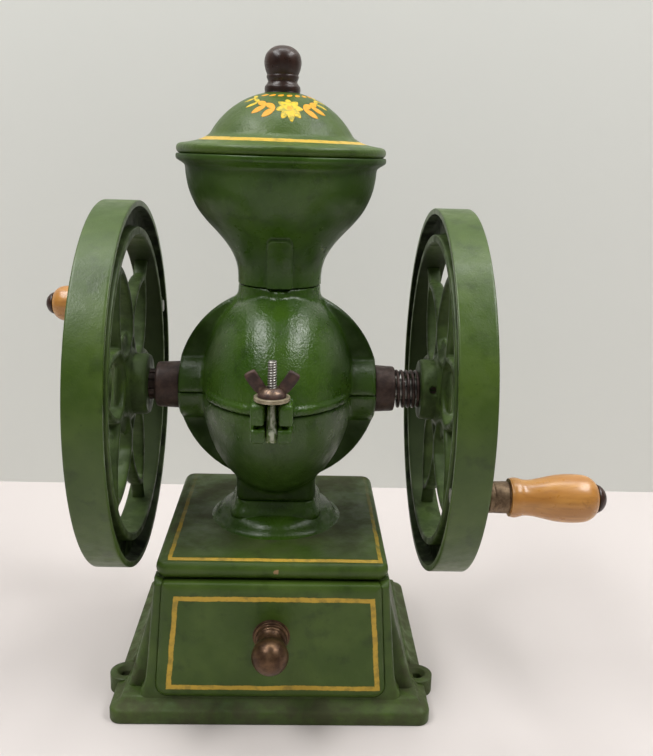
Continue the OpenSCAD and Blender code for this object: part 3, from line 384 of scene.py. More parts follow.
def green_enamel(name, gloss, lines=None, grime_and_shade=None, pebble=0.32, shine=0.30, waves=0.5, greens=WHEEL_GREENS,
                 chip_at=None):
    """Enamel on rough iron. lines and the dirt-and-shade argument take the finish and give masks from 0 to 1, the
    latter with its colour: brown dirt on the base, painted shade on the case and hopper, and both on the wheels;
    gloss is the range of roughness, pebble and waves the depths in millimetres of the fine and the broad cast
    grain, shine the strength of reflections, greens the deep, plain and light paint, and chip_at a place in
    metres where the enamel is knocked off."""
    enamel = Finish(name, Specular_IOR_Level=shine, Coat_Weight=0.05, Coat_Roughness=0.2)
    deep, plain, light = greens
    clouds = enamel.noise(38, 3.0)
    speckle = enamel.noise(2.2, 3.0)
    colour = enamel.blend(enamel.span(clouds, 0.35, 0.68), plain, light)
    colour = enamel.blend(enamel.span(enamel.noise(15, 4.0), 0.52, 0.72, 0.0, 0.55), colour, deep)
    colour = enamel.blend(enamel.span(speckle, 0.62, 0.74, 0.0, 0.35), colour, deep)
    rough = enamel.span(enamel.noise(9, 4.0), 0.3, 0.7, *gloss)
    # Dirt on the base, painted shade on the case and hopper, and both on the wheels.
    if grime_and_shade:
        share, film_and_shade = grime_and_shade(enamel)
        colour = enamel.blend(share, colour, film_and_shade)
        rough = enamel.math("MULTIPLY_ADD", share, 0.32, rough)
        enamel.wire(Specular_IOR_Level=enamel.span(share, 0.0, 1.0, shine, 0.06),
                    Coat_Weight=enamel.span(share, 0.0, 0.6, 0.05, 0.0))
    if lines:
        mask = lines(enamel)
        brush = enamel.span(enamel.noise(6, 5.0), 0.30, 0.55)
        colour = enamel.blend(mask, colour, enamel.blend(brush, OCHRE_THIN, OCHRE))
    chips = enamel.span(enamel.noise(5.5, 6.0, 0.7), 0.745, 0.76)
    colour = enamel.blend(chips, colour, CHIP)
    if chip_at:
        reach = enamel.add("ShaderNodeVectorMath", {0: enamel.place, 1: chip_at}, "Value", operation="DISTANCE")
        ragged = enamel.math("MULTIPLY_ADD", enamel.noise(2.0, 3.0), 3.0 * MM, reach)
        colour = enamel.blend(enamel.near(ragged, 3.6, 3.2), colour, BARE_IRON)
    cast = enamel.bump(enamel.noise(4.2, 2.0), waves, 0.6)
    grain = enamel.bump(enamel.noise(1.4, 2.0), pebble, 0.7, cast)
    enamel.wire(Base_Color=colour, Roughness=rough, Normal=grain)
    return enamel.material


def line_mask(finish, distance, half_width):
    """1 within half_width of a line, with a hand's wander; distance is in metres."""
    wander = finish.math("MULTIPLY_ADD", finish.noise(17, 2.0), 1.9 * MM, -0.95 * MM)
    ragged = finish.math("MULTIPLY_ADD", finish.noise(2.4, 3.0), 0.9 * MM, -0.45 * MM)
    reach = finish.math("ABSOLUTE", finish.math("ADD", distance, wander))
    edge = finish.math("ADD", reach, ragged)
    return finish.near(edge, half_width + 0.22, half_width - 0.22)


# Places of the brush lines in millimetres; the hand set them all a little right of the middle.
LID_LINE_R, LID_LINE_RIGHT, BASE_LINE_RIGHT = 57.4, 1.0, 2.0


def lid_line(finish):
    """A ring round the foot of the dome."""
    r = finish.off_line(finish.less(finish.axis(X), LID_LINE_RIGHT * MM), finish.axis(Y))
    return finish.product(line_mask(finish, finish.less(r, LID_LINE_R * MM), 2.6), finish.along(Z, 402, 403))


def rectangle_lines(finish, x, y, low, high, half_low, half_high, half_width):
    """Four straight lines: y at low and high, and x at a half width that goes from half_low to half_high."""
    share = finish.math("DIVIDE", finish.less(y, low * MM), (high - low) * MM)
    half = finish.math("MULTIPLY_ADD", share, (half_high - half_low) * MM, half_low * MM)
    out = finish.less(finish.math("ABSOLUTE", x), half)
    over = finish.less(finish.math("ABSOLUTE", finish.less(y, (low + high) / 2 * MM)), (high - low) / 2 * MM)
    return line_mask(finish, finish.most(out, over), half_width)


def base_lines(finish):
    """The rectangle on the flat top of the base: bright in front, worn away along the sides and at the back."""
    x = finish.less(finish.axis(X), BASE_LINE_RIGHT * MM)
    lines = rectangle_lines(finish, x, finish.axis(Y), -81.4, 81.0, 74.0, 74.0, 1.45)
    front = finish.along(Y, -70, -79)
    fading = finish.along(Y, 76, -78, 0.05, 0.75)
    worn = finish.product(fading, finish.span(finish.noise(13, 5.0, 0.7), 0.30, 0.60, 0.35, 1.0))
    on_top, under_step = finish.along(Z, 119.9, 120.8), finish.along(Z, 124.0, 122.9)
    return finish.product(lines, finish.most(front, worn), finish.product(on_top, under_step))


def drawer_lines(finish):
    """The rectangle on the drawer front, wider at its foot."""
    x = finish.less(finish.axis(X), BASE_LINE_RIGHT * MM)
    return rectangle_lines(finish, x, finish.axis(Z), 27.0, 97.2, 74.9, 68.6, 1.75)


# %% Grime, wear and painted shade


def base_grime(finish):
    """Brown film: thick in patches on the flat top, more of it towards the back, and thin over the skirt's
    sides and the plinth."""
    on_top, under_step = finish.along(Z, 119.5, 121.5), finish.along(Z, 127.0, 122.3)
    patches = finish.span(finish.noise(26, 5.0, 0.65), 0.32, 0.66, 0.15, 0.85)
    backward = finish.along(Y, -85, -35, 0.25, 1.0)
    top = finish.product(finish.product(on_top, under_step), finish.product(patches, backward))
    sideways = finish.near(finish.math("ABSOLUTE", finish.axis(X)), 80, 100)
    stains = finish.span(finish.noise(14, 5.0, 0.7), 0.42, 0.64, 0.0, 0.75)
    skirt = finish.product(sideways, finish.along(Z, 112, 100), stains)
    patches = finish.span(finish.noise(18, 5.0, 0.65), 0.34, 0.64, 0.15, 0.80)
    plinth = finish.product(finish.along(Z, 22, 14), patches)
    return finish.most(top, skirt, plinth), GRIME


def case_painted_shade(finish):
    """Painted shade: a deeper green on the sides of the case and hopper away from the bearing bosses, and on the
    case's lower half, more of it lower down, in patches.
    """
    sideways = finish.near(finish.math("ABSOLUTE", finish.axis(X)), 26, 60, 0.0, 0.80)
    off_shaft = finish.math("ABSOLUTE", finish.less(finish.axis(Z), SHAFT_Z * MM))
    sideways = finish.product(sideways, finish.near(off_shaft, 16, 34, 0.25, 1.0))
    below = finish.product(finish.along(Z, 225, 165, 0.10, 0.62), finish.along(Z, 228, 225))
    shade = finish.product(finish.most(sideways, below), finish.along(Z, 398, 340, 0.75, 1.0))
    return finish.product(shade, finish.span(finish.noise(20, 4.0), 0.30, 0.62, 0.6, 1.0)), PAINTED_SHADE_GREEN


def wheel_grime_and_shade(finish):
    """Dark colour in the channel between the tread and the bead ring, partly old coating and partly painted shade in
    the recess;
    painted shade on the ring's inner face towards the far side of the wheel; and grey dust with dark blotches on the
    lace."""
    y = finish.axis(Y)
    r = finish.off_line(y, finish.less(finish.axis(Z), SHAFT_Z * MM))
    # The channel's dark colour is part old coating, part painted shade in the recess.
    channel = finish.product(finish.near(r, 116.6, 118.0), finish.near(r, 132.6, 132.0))
    patchy = finish.product(channel, finish.span(finish.noise(19, 4.0), 0.35, 0.60, 0.95, 0.60))
    lace_spots = finish.span(finish.noise(17, 5.0, 0.65), 0.50, 0.66, 0.0, 0.6)
    blotch = finish.product(lace_spots, finish.near(r, 117, 116))
    # Painted shade on the inner face of the ring, growing towards the far side of the wheel.
    ring = finish.product(finish.near(r, 110.4, 111.2), finish.near(r, 112.2, 111.8))
    far_ring_shade = finish.product(ring, finish.near(y, 5, 70, 0.0, 0.8))
    lace = finish.near(r, 117.2, 116.6)
    dust = finish.product(lace, finish.span(finish.noise(12, 4.0), 0.35, 0.62, 0.25, 0.70))
    film_and_shade = finish.blend(finish.less(lace, finish.most(far_ring_shade, blotch)), CHANNEL_DARK, LACE_DUST)
    return finish.most(patchy, far_ring_shade, finish.most(blotch, dust)), film_and_shade


# %% Enamels of the castings
SLAB_CHIP = (0.0026, -0.0879, 0.1155)
# The case and hopper carry painted shade on their sides and below the shaft.
green_case = green_enamel("green_enamel_case", grime_and_shade=case_painted_shade, gloss=(0.20, 0.33), pebble=0.42, shine=0.42,
                          greens=CASE_SHADED_GREENS)
green_hopper = green_enamel("green_enamel_hopper", grime_and_shade=case_painted_shade, gloss=(0.24, 0.36), pebble=0.16, waves=0.25,
                            greens=CASE_SHADED_GREENS)
green_step = green_enamel("green_enamel_step", gloss=(0.20, 0.32), pebble=0.36, shine=0.38, waves=0.3,
                          greens=CASE_SHADED_GREENS)
green_wheel = green_enamel("green_enamel_wheel", grime_and_shade=wheel_grime_and_shade, gloss=(0.32, 0.46), pebble=0.12, shine=0.40,
                           waves=0.16)
green_lid = green_enamel("green_enamel_lid", lines=lid_line, gloss=(0.32, 0.46), greens=WORN_GREENS)
green_base = green_enamel("green_enamel_base", lines=base_lines, grime_and_shade=base_grime, gloss=(0.34, 0.50), pebble=0.18,
                          waves=0.22, greens=WORN_GREENS, chip_at=SLAB_CHIP)
green_drawer = green_enamel("green_enamel_drawer", lines=drawer_lines, gloss=(0.36, 0.50), pebble=0.10,
                            greens=WORN_GREENS)
print("enamels:", [paint.name for paint in bpy.data.materials if paint.name.startswith("green")])

# %% [markdown]
# ## Iron, steel, bronze, wood
# The collars, the wing nut and the spring are bare iron gone brown. The drawer knob is cast bronze with a
# handled sheen. The grips are honey-coloured varnished wood with long streaks of grain, and the small knobs
# are a wood so dark that the grain hardly shows.

# %% Metals


def metal(name, dark, light, size, metallic, rough_low, rough_high, depth):
    """Patchy metal: two colours mixed by noise, uneven polish, and a bump of about depth millimetres."""
    finish = Finish(name, Metallic=metallic)
    patches = finish.span(finish.noise(size, 5.0, 0.65), 0.34, 0.66)
    colour = finish.blend(patches, dark, light)
    pits = finish.span(finish.noise(1.1, 3.0), 0.60, 0.75)
    colour = finish.blend(pits, colour, tuple(0.45 * c for c in dark))
    finish.wire(Base_Color=colour, Roughness=finish.span(finish.noise(4, 4.0), 0.3, 0.7, rough_low, rough_high),
                Normal=finish.bump(finish.noise(1.4, 4.0), depth, 0.6))
    return finish.material


# Dark and light colour, patch size in mm, metallic, roughness from and to, bump depth in mm.
brown_iron = metal("brown_iron", (0.030, 0.015, 0.011), (0.068, 0.038, 0.028), 7, 0.25, 0.42, 0.64, 0.25)
spring_iron = metal("spring_iron", (0.022, 0.011, 0.009), (0.070, 0.040, 0.032), 4, 0.45, 0.30, 0.50, 0.08)
bright_steel = metal("bright_steel", (0.32, 0.31, 0.29), (0.52, 0.51, 0.48), 6, 0.95, 0.25, 0.42, 0.05)
dull_steel = metal("dull_steel", (0.13, 0.12, 0.11), (0.26, 0.25, 0.23), 6, 0.9, 0.32, 0.52, 0.08)
washer_metal = metal("washer_metal", (0.24, 0.20, 0.12), (0.42, 0.36, 0.25), 5, 0.45, 0.36, 0.55, 0.08)
rusty_ferrule = metal("rusty_ferrule", (0.085, 0.050, 0.024), (0.22, 0.15, 0.085), 6, 0.55, 0.40, 0.62, 0.10)
old_bronze = metal("old_bronze", (0.050, 0.025, 0.013), (0.135, 0.075, 0.038), 9, 0.70, 0.28, 0.46, 0.10)
tin_plate = metal("tin_plate", (0.30, 0.29, 0.26), (0.46, 0.45, 0.41), 22, 0.85, 0.35, 0.55, 0.05)
print("finishes so far:", len(bpy.data.materials))

# %% Woods


def wood(name, light, dark, deep, grain, contrast, **fixed):
    """Varnished wood: streaks of noise drawn out along the grain axis, pores, and a clear coat."""
    finish = Finish(name, **fixed)
    streaks = finish.noise(2.6, 5.0, 0.6, grain)
    broad = finish.noise(9, 3.0, 0.5, grain)
    colour = finish.blend(finish.span(broad, 0.32, 0.68), light, dark)
    colour = finish.blend(finish.span(streaks, 0.48, 0.72, 0.0, contrast), colour, deep)
    stains = finish.span(finish.noise(11, 5.0, 0.7), 0.60, 0.72, 0.0, 0.5)
    colour = finish.blend(stains, colour, deep)
    finish.wire(Base_Color=colour, Roughness=finish.span(finish.noise(5, 4.0), 0.3, 0.7, 0.26, 0.42),
                Normal=finish.bump(streaks, 0.12, 0.35))
    return finish.material


honey_wood = wood("honey_wood", (0.53, 0.255, 0.055), (0.41, 0.175, 0.032), (0.22, 0.080, 0.014),
                  (0.12, 1.0, 1.0), 0.35, Coat_Weight=0.35, Coat_Roughness=0.2)
dark_wood = wood("dark_wood", (0.036, 0.014, 0.008), (0.020, 0.008, 0.005), (0.008, 0.004, 0.003),
                 (1.0, 1.0, 0.2), 0.6, Specular_IOR_Level=0.35, Coat_Weight=0.12, Coat_Roughness=0.25)
print("finishes:", len(bpy.data.materials))

# %% [markdown]
# ## Rounding a casting
# The case, the base and the wheels are castings in which many forms run into each other, so no single grid
# describes them. Each starts from a copy of its CAD solid, cut into even squares; then every point moves
# towards the mean of its neighbours, again and again, which wears the edges round and fills the inner corners
# as a sand mould does. Flat and gently curved faces hardly move, because there the mean is the point itself.

# %% Rounding helper


def melted(piece, size):
    """The piece's closed shells melted into one skin of squares of about size millimetres."""
    squares = piece.modifiers.new("squares", "REMESH")
    squares.mode = "VOXEL"
    squares.voxel_size = size * MM
    graph = bpy.context.evaluated_depsgraph_get()
    piece.data = bpy.data.meshes.new_from_object(piece.evaluated_get(graph))
    piece.data.name = piece.name
    piece.modifiers.clear()
    return piece


def even_squares(name, node, size):
    """A closed copy of a CAD node, remeshed into squares of about size millimetres."""
    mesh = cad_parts[node].data.copy()
    shape = bmesh.new()
    shape.from_mesh(mesh)
    bmesh.ops.remove_doubles(shape, verts=shape.verts, dist=MERGE_M)
    shape.to_mesh(mesh)
    shape.free()
    piece = bpy.data.objects.new(name, mesh)
    bpy.context.scene.collection.objects.link(piece)
    return melted(piece, size)


def points_of(mesh):
    """All points of a mesh, in millimetres."""
    flat = np.empty(3 * len(mesh.vertices), np.float32)
    mesh.vertices.foreach_get("co", flat)
    return flat.reshape(-1, 3).astype(float) / MM


def set_points(mesh, points):
    """Puts points in millimetres back into a mesh and shades it smooth."""
    mesh.vertices.foreach_set("co", np.ascontiguousarray(points * MM, np.float32).ravel())
    mesh.polygons.foreach_set("use_smooth", np.ones(len(mesh.polygons), bool))
    mesh.update()


def worn_round(mesh, rounds, share=None):
    """Moves each point half way to the mean of its neighbours, rounds times; share scales the step by place."""
    points = points_of(mesh)
    ends = np.empty(2 * len(mesh.edges), np.int32)
    mesh.edges.foreach_get("vertices", ends)
    a, b = ends.reshape(-1, 2).T
    n = len(points)
    count = (np.bincount(a, minlength=n) + np.bincount(b, minlength=n))[:, None]
    step = np.full(n, 0.5) if share is None else 0.5 * share(points)
    step = step[:, None] / np.maximum(count, 1)
    for _ in range(rounds):
        total = np.stack([np.bincount(a, points[b, k], n) + np.bincount(b, points[a, k], n)
                          for k in range(3)], -1)
        points = points + step * (total - count * points)
    return points


# %% [markdown]
# ## The case
# The grinding case is a ball split along the shaft, with a flat web, bearing bosses, a foot and the clamp lugs.
# Its two halves are rounded copies of their solids. Near the parting plane the wear is held back, so that the
# joint stays a fine dark line as on the real mill.

# %% Case halves
BALL_X, BALL_Y, BALL_Z = 57.0, 80.0, 80.0
CASE_SQUARES, CASE_ROUNDS, HELD_WITHIN = 1.25, 8, 5.0
BEAD_PROUD, BEAD_TOP, BEAD_FADE, BOSS_X, BOSS_Y = 1.9, 7.6, 2.8, 52, 84


def near_parting(points):
    """Less wear within HELD_WITHIN of the parting plane."""
    return np.clip(np.abs(points[:, 2] - SHAFT_Z) / HELD_WITHIN, 0.25, 1.0)


def joint_bead(points, proud):
    """The upper half carries a flat bead above the joint: points of the ball's outer skin from the parting
    plane up to BEAD_TOP move outward, away from the ball's middle line."""
    x, y, over = points[:, 0], points[:, 1], points[:, 2] - SHAFT_Z
    ball = (x / BALL_X) ** 2 + (y / BALL_Y) ** 2 + (over / BALL_Z) ** 2
    height = np.clip(over / 0.8, 0, 1) * np.clip((BEAD_TOP - over) / BEAD_FADE, 0, 1)
    off_bosses = (np.abs(y) < BOSS_Y) * np.clip((BOSS_X - np.abs(x)) / 4, 0, 1)
    skin = np.clip((ball - 0.90) / 0.06, 0, 1) * off_bosses
    out = np.stack([x / BALL_X**2, y / BALL_Y**2], -1)
    out = out / np.maximum(np.linalg.norm(out, axis=1, keepdims=True), 1e-9)
    points[:, :2] += out * (proud * height * skin)[:, None]
    return points


for name, node, body, proud in (("lower_case", "lower_housing", "stand", 0.0),
                                ("upper_case_half", "upper_housing", "upper_case", BEAD_PROUD)):
    half = even_squares(name, node, CASE_SQUARES)
    set_points(half.data, joint_bead(worn_round(half.data, CASE_ROUNDS, near_parting), proud))
    dress(half, body, "green_enamel", green_case, node)

# %% [markdown]
# ## The base
# The base is a hollow casting: a plinth with two screw-down ears, a flared skirt, a frame for the drawer and a top
# slab with a half-round edge. Each of these is one outline carried along one section, so they are written as
# lofts: a section gives an inset and a height, and the outline is drawn once for every step of the section.

# %% Outlines for lofts
PLINTH_H, SLAB_LOW, SLAB_TOP = 12.0, 111.0, 122.0
EAR_X, EAR_Y, EAR_NOTCH, EAR_CLEAR = 111.0, -53.0, 6.5, 12.3


def rounded_box(half_x, half_y, radius, inset, per_side=60, per_corner=10):
    """A rectangle's outline moved inwards: straight sides joined by quarter circles of radius minus inset."""
    hx, hy, r = half_x - inset, half_y - inset, max(radius - inset, 0.5)
    arc = np.radians(np.linspace(0, 90, per_corner))
    side = np.linspace(-1, 1, per_side)[1:-1]
    quarter = r * np.stack([np.cos(arc), np.sin(arc)], -1)
    right = np.stack([np.full(side.size, hx), side * (hy - r)], -1)
    top = np.stack([-side * (hx - r), np.full(side.size, hy)], -1)
    corners = quarter + [hx - r, hy - r], quarter[:, ::-1] * [-1, 1] + [r - hx, hy - r]
    half = np.concatenate([right, corners[0], top, corners[1]])
    return np.concatenate([half, -half])


def loft(rows, wrap_rows=False):
    """A grid through loops of equal length, one row each. Rows are (count, 3) arrays."""
    stack = np.array(rows)
    return stack.reshape(-1, 3), grid_quads(stack.shape[0], stack.shape[1], wrap_rows, True)


def box_loft(half_x, half_y, radius, section, change=None):
    """A solid whose edge follows the section of (inset, height) round a rounded box; both ends close at the
    middle. change, where given, reshapes the outline at each height."""
    rows = []
    for inset, z in section:
        loop = rounded_box(half_x, half_y, radius, inset)
        loop = change(loop, z) if change else loop
        rows.append(np.column_stack([loop, np.full(len(loop), z)]))
    low = [rows[0] * [k, k, 1] for k in (0, 0.35, 0.7, 0.9)]
    high = [rows[-1] * [k, k, 1] for k in (0.9, 0.7, 0.35, 0)]
    return loft(low + rows + high)


def ear_notches(loop, z):
    """Cuts a half-round notch into both long sides: small at the screw hole, and above the ear's top wide
    enough to leave the whole ear clear."""
    notch = np.interp(z, [11.0, 12.4], [EAR_NOTCH, EAR_CLEAR])
    near = np.clip(notch**2 - (loop[:, 1] - EAR_Y) ** 2, 0, None)
    limit = np.where(near > 0, EAR_X - np.sqrt(near), np.inf)
    return np.column_stack([np.clip(loop[:, 0], -limit, limit), loop[:, 1]])


# %% Plinth, ears, slab and pedestal
# Boxes are half width, half depth and corner radius.
PLINTH_BOX, SLAB_BOX, PEDESTAL_BOX = (116, 99, 9), (82, 88, 9), (30, 28, 8)
EAR_SIDES, STEP_SIDES = 64, 120
plinth = box_loft(*PLINTH_BOX, [(1.0, 0), (0.2, 0.3), (0, 1.0), (0, 8.6), (0.4, 9.7), (1.3, 10.6), (3.0, 11.4),
                                (5.4, 12.5), (7.4, 14.0), (8.6, 16.2), (9.6, 17.1), (14.0, 17.2)], ear_notches)
ear_outline = np.concatenate([
    flowing([(0.3, 3.75), (0.0, 4.2), (0.0, 11.2), (0.3, 11.9), (1.0, 12.0), (12.0, 12.0), (13.0, 11.7),
             (13.5, 10.9)], 5), flowing([(13.5, 7.2), (13.2, 6.5), (10.9, 4.1), (10.2, 3.75)], 4)])
ear_outline[:, 0] = np.maximum(ear_outline[:, 0], 0)
ears = [turned_grid(ear_outline, (side * EAR_X, EAR_Y, 0), UP, FRONT, EAR_SIDES, True) for side in (-1, 1)]
slab = box_loft(*SLAB_BOX, [(9.0, 108.7), (5.6, 108.6), (3.6, 109.0), (1.7, 110.4), (0.45, 112.5), (0.0, 114.9),
                            (0.35, 117.3), (1.4, 119.4), (3.0, 120.8), (4.6, 121.2), (5.4, 121.05), (6.0, 121.25),
                            (6.6, 121.8), (7.4, SLAB_TOP), (12.0, SLAB_TOP)])
step_outline = flowing([(121.5, 0), (121.5, 0), (121.5, 51.5), (121.9, 50.6), (122.5, 49.0), (123.6, 47.2),
                        (125.4, 45.7), (127.4, 44.4), (129.4, 42.6), (131.2, 40.0), (132.4, 37.0), (133.2, 34.0),
                        (133.6, 31.0), (133.6, 0), (133.6, 0)], 6)
step = turned_grid(step_outline, (0, 0, 0), UP, FRONT, STEP_SIDES)
pedestal = box_loft(*PEDESTAL_BOX, [(-4.6, 129.0), (-4.6, 132.2), (-4.3, 133.6), (-3.5, 135.0), (-2.4, 136.4),
                                    (-1.3, 138.0), (-0.5, 139.6), (0.0, 141.2), (0.2, 142.2), (0.7, 142.8),
                                    (1.6, 143.0)])
print("plinth, slab and pedestal squares:", [len(quads) for _, quads in (plinth, slab, pedestal)])

# %% Skirt
SKIRT_FRONT, SKIRT_TOP, SKIRT_FLARE, SKIRT_WALL = -78.5, 79.0, 27.0, 6.0
SKIRT_BACK, BACK_FLARE, SKIRT_INNER = 85.0, 6.0, 73.0
SKIRT_NEAR_R, SKIRT_FAR_R, LEAST_R = 5.0, 12.0, 0.6
FOOT_SWELL, FOOT_FADE = 0.07, 3.5


def skirt_line(half_x, front, back, wall):
    """Seen from above: a short front wall from beside the drawer, a round corner, the side, a corner, the
    back; then the same mirrored."""
    bend, turn = max(SKIRT_NEAR_R - wall, LEAST_R), max(SKIRT_FAR_R - wall, LEAST_R)
    arc = np.radians(np.linspace(270, 180, 9))
    near = bend * np.stack([np.cos(arc), np.sin(arc)], -1) + [bend - half_x, front + bend]
    arc = np.radians(np.linspace(180, 90, 9))
    away = turn * np.stack([np.cos(arc), np.sin(arc)], -1) + [turn - half_x, back - turn]
    share = np.linspace(0, 1, 16, endpoint=False)[:, None]
    start = np.array([[-SKIRT_INNER, front]])
    front_wall = start + share * (near[:1] - start)
    side_wall = near[-1:] + share * (away[:1] - near[-1:])
    half = np.concatenate([front_wall, near[:-1], side_wall, away])
    return np.concatenate([half, half[::-1] * [-1, 1]])


def skirt_rows(heights, wall):
    """The U at each height: the flare falls evenly from foot to top, with a small hollow at the foot."""
    rows = []
    for z in heights:
        flare = (SLAB_LOW - z) / (SLAB_LOW - PLINTH_H) + FOOT_SWELL * np.exp(-(z - PLINTH_H) / FOOT_FADE)
        half_x = SKIRT_TOP + SKIRT_FLARE * flare - wall
        front = SKIRT_FRONT - 3 * (flare > 1) * (flare - 1) + wall
        line = skirt_line(half_x, front, SKIRT_BACK + BACK_FLARE * flare - wall, wall)
        rows.append(np.column_stack([line, np.full(len(line), z)]))
    return rows


heights = np.concatenate([[11.0, 12, 13, 14.5, 16.5, 20], np.linspace(28, 112.5, 12)])
wall = np.array(skirt_rows(heights, 0.0) + skirt_rows(heights[::-1], SKIRT_WALL))
end = wall[:, [0, -1]].mean(0, keepdims=True) + 0 * wall[:, [0, -1]]
wall = np.concatenate([end[:, :1], wall, end[:, 1:]], 1)
skirt = wall.reshape(-1, 3), grid_quads(wall.shape[0], wall.shape[1], True, False)
print("skirt squares:", len(skirt[1]))

# %% Drawer frame
DRAWER_LOW, DRAWER_TOP, DRAWER_HALF, DRAWER_TAPER = 18.5, 108.2, 83.0, 6.5 / 91.0
HIGH_CORNER, LOW_CORNER = 3.0, 9.0
FRAME_FRONT, FRAME_BACK, LINTEL_FRONT, OPEN_GAP = -90.5, -77.0, -84.0, 0.14
FRAME_HALF, FRAME_NARROWS, FRAME_FOOT = 91.5, 9.5, 12.0
FRAME_LOW, FRAME_TOP, LINTEL_Z, LINTEL_HALF = 10.8, 109.6, 106.2, 77.0


def drawer_loop(inset, per_side=14, per_corner=9):
    """The drawer front's outline moved inwards, in x and z: wider at its foot, round corners, larger low ones."""
    low, high = DRAWER_LOW + inset, DRAWER_TOP - inset

    def half_at(z):
        return DRAWER_HALF - DRAWER_TAPER * (z - DRAWER_LOW) - inset

    parts = []
    for z, r, turn in ((high, HIGH_CORNER, 0), (high, HIGH_CORNER, 90), (low, LOW_CORNER, 180),
                       (low, LOW_CORNER, 270)):
        r = max(r - inset, 0.4)
        z_mid = z - r if turn < 180 else z + r
        x_mid = (half_at(z_mid) - r) * (1 if turn in (0, 270) else -1)
        arc = np.radians(turn + np.linspace(0, 90, per_corner))
        parts.append(np.stack([x_mid + r * np.cos(arc), z_mid + r * np.sin(arc)], -1))
    share = np.linspace(0, 1, per_side)[1:-1, None]
    sides = [a[-1] + share * (b[0] - a[-1]) for a, b in zip(parts, parts[1:] + parts[:1])]
    return np.concatenate([piece for pair in zip(parts, sides) for piece in pair])


opening = drawer_loop(-OPEN_GAP)
opening[:, 1] -= 0.5 * np.clip((30 - opening[:, 1]) / 8, 0, 1)
open_x, open_z = opening.T
share_up = np.clip((open_z - PLINTH_H) / (SLAB_LOW - PLINTH_H), 0, 1)
outer_half = FRAME_HALF - FRAME_NARROWS * share_up + FRAME_FOOT * np.exp(-np.clip(open_z - 14.0, 0, None) / 5.0)
outer_x = np.sign(open_x) * outer_half * np.clip(np.abs(open_x) / 70.0, 0, 1)
outer_z = np.where(open_z > 106.6, FRAME_TOP, np.where(open_z < 20, FRAME_LOW, open_z))
outside_loop = np.stack([outer_x, outer_z], -1)
lintel = np.clip((open_z - LINTEL_Z) / 1.5, 0, 1) * (np.abs(open_x) < LINTEL_HALF)
frame_rows = []
for share, y in ((0, FRAME_BACK), (0, -88.0), (0.05, -89.2), (0.16, -90.1), (0.34, FRAME_FRONT),
                 (0.92, FRAME_FRONT), (0.99, -90.3), (1.0, -89.6), (1.0, FRAME_BACK)):
    line = outside_loop + share * (opening - outside_loop)
    depth = y + lintel * np.clip(LINTEL_FRONT - y, 0, None)
    frame_rows.append(np.column_stack([line[:, 0], depth, line[:, 1]]))
drawer_frame = loft(frame_rows, True)
base = lay_mesh("base_shell", *joined(plinth, *ears, slab, skirt, drawer_frame))
dress(base, "stand", "green_enamel", green_base, "base_casting")
dress(lay_mesh("round_step", *joined(step, pedestal)), "stand", "green_enamel", green_step)

# %% [markdown]
# ## The flywheels
# Each wheel is one casting: a flat tread, a bead ring inside it and six leaf-shaped loops round the hub. The rim
# and the hub were turned after casting, so they are lathe grids with crisp edges. The lace was left as cast: ribs
# carried along the leaves' outlines, melted into one skin and worn round.

# %% Rim and hub outlines
# The crank pins sit opposite each other, a little off the level; each wheel's inner plane is its rim's place.
CRANK_R, CRANK_ANGLE = 125.0, np.radians(18)
LEFT_RIM_X, RIGHT_RIM_X = -102.9, 113.4
HOLE_X, HOLE_R, HOLE_EDGE, HOLE_DEEP = 3.0, 3.5, 0.7, 5.0
rim_outline = np.concatenate([
    flowing([(0.7, 136.5), (8, 136.5), (17, 136.5), (24.3, 136.5)], 4),
    flowing([(24.8, 136.2), (25.0, 135.6), (25.0, 132.8), (24.7, 132.1), (24.0, 131.9)], 3),
    flowing([(19.5, 131.8), (17.6, 130.8), (17.0, 128.6), (17.0, 120.0), (17.6, 118.2), (19.2, 117.6)], 3),
    flowing([(20.4, 117.4), (21.0, 116.8), (21.0, 112.2), (20.4, 111.6), (19.0, 111.5), (4.0, 111.5)], 3),
    flowing([(2.4, 111.6), (1.5, 112.0), (1.1, 112.8), (1.1, 116.2), (1.6, 117.1), (3.0, 117.5)], 4),
    flowing([(6.5, 117.6), (8.4, 118.3), (9.0, 120.2), (9.0, 128.4), (8.4, 130.6), (6.5, 131.7)], 3),
    flowing([(1.2, 131.9), (0.4, 132.1), (0.0, 132.7), (0.0, 135.7), (0.2, 136.2)], 3)])
hub_outline = np.concatenate([
    flowing([(-6.0, 8.2), (-6.0, 20.6), (-5.7, 21.6), (-5.0, 22.4), (-4.0, 22.9)], 5),
    flowing([(-2.8, 23.0), (4.0, 23.0), (24.0, 23.0), (26.2, 22.8), (26.9, 22.0), (27.0, 20.8), (27.0, 8.2)], 10)])
print("rim and hub outline points:", len(rim_outline), len(hub_outline))


def set_screw_hole(points, turn):
    """Sinks the hub's skin by HOLE_DEEP within the screw hole, whose middle is HOLE_X from the rim's plane: a
    point's distance from the middle is the root of its arc length's and its station's squares."""
    spread = np.arctan2(points[:, 2], points[:, 1]) - turn
    spread = (spread + np.pi) % (2 * np.pi) - np.pi
    r = np.hypot(points[:, 1], points[:, 2])
    away = np.hypot(r * spread, points[:, 0] - HOLE_X)
    sink = HOLE_DEEP * np.clip((HOLE_R - away) / HOLE_EDGE, 0, 1) * (r > 20)
    points[:, 1:] *= ((r - sink) / r)[:, None]
    return points


# %% Lace of leaves
LEAVES = np.radians(48 + 60 * np.arange(6))
LEAF_FOOT, LEAF_WIDEST, LEAF_TIP, LEAF_HALF = 27.0, 46.0, 96.0, 23.8
RIB_SIDES, RIB_HALF_W, RIB_MIDDLE, RIB_HALF_D = 16, 2.5, 12.1, 5.2
SPOKE_IN, LEAF_ROUND, TIP_FROM, TIP_TO, TIP_RINGS = 1.6, 6, 91, 114, 12
LACE_SQUARES, LACE_ROUNDS, DISH_SIDES = 1.0, 3, 120


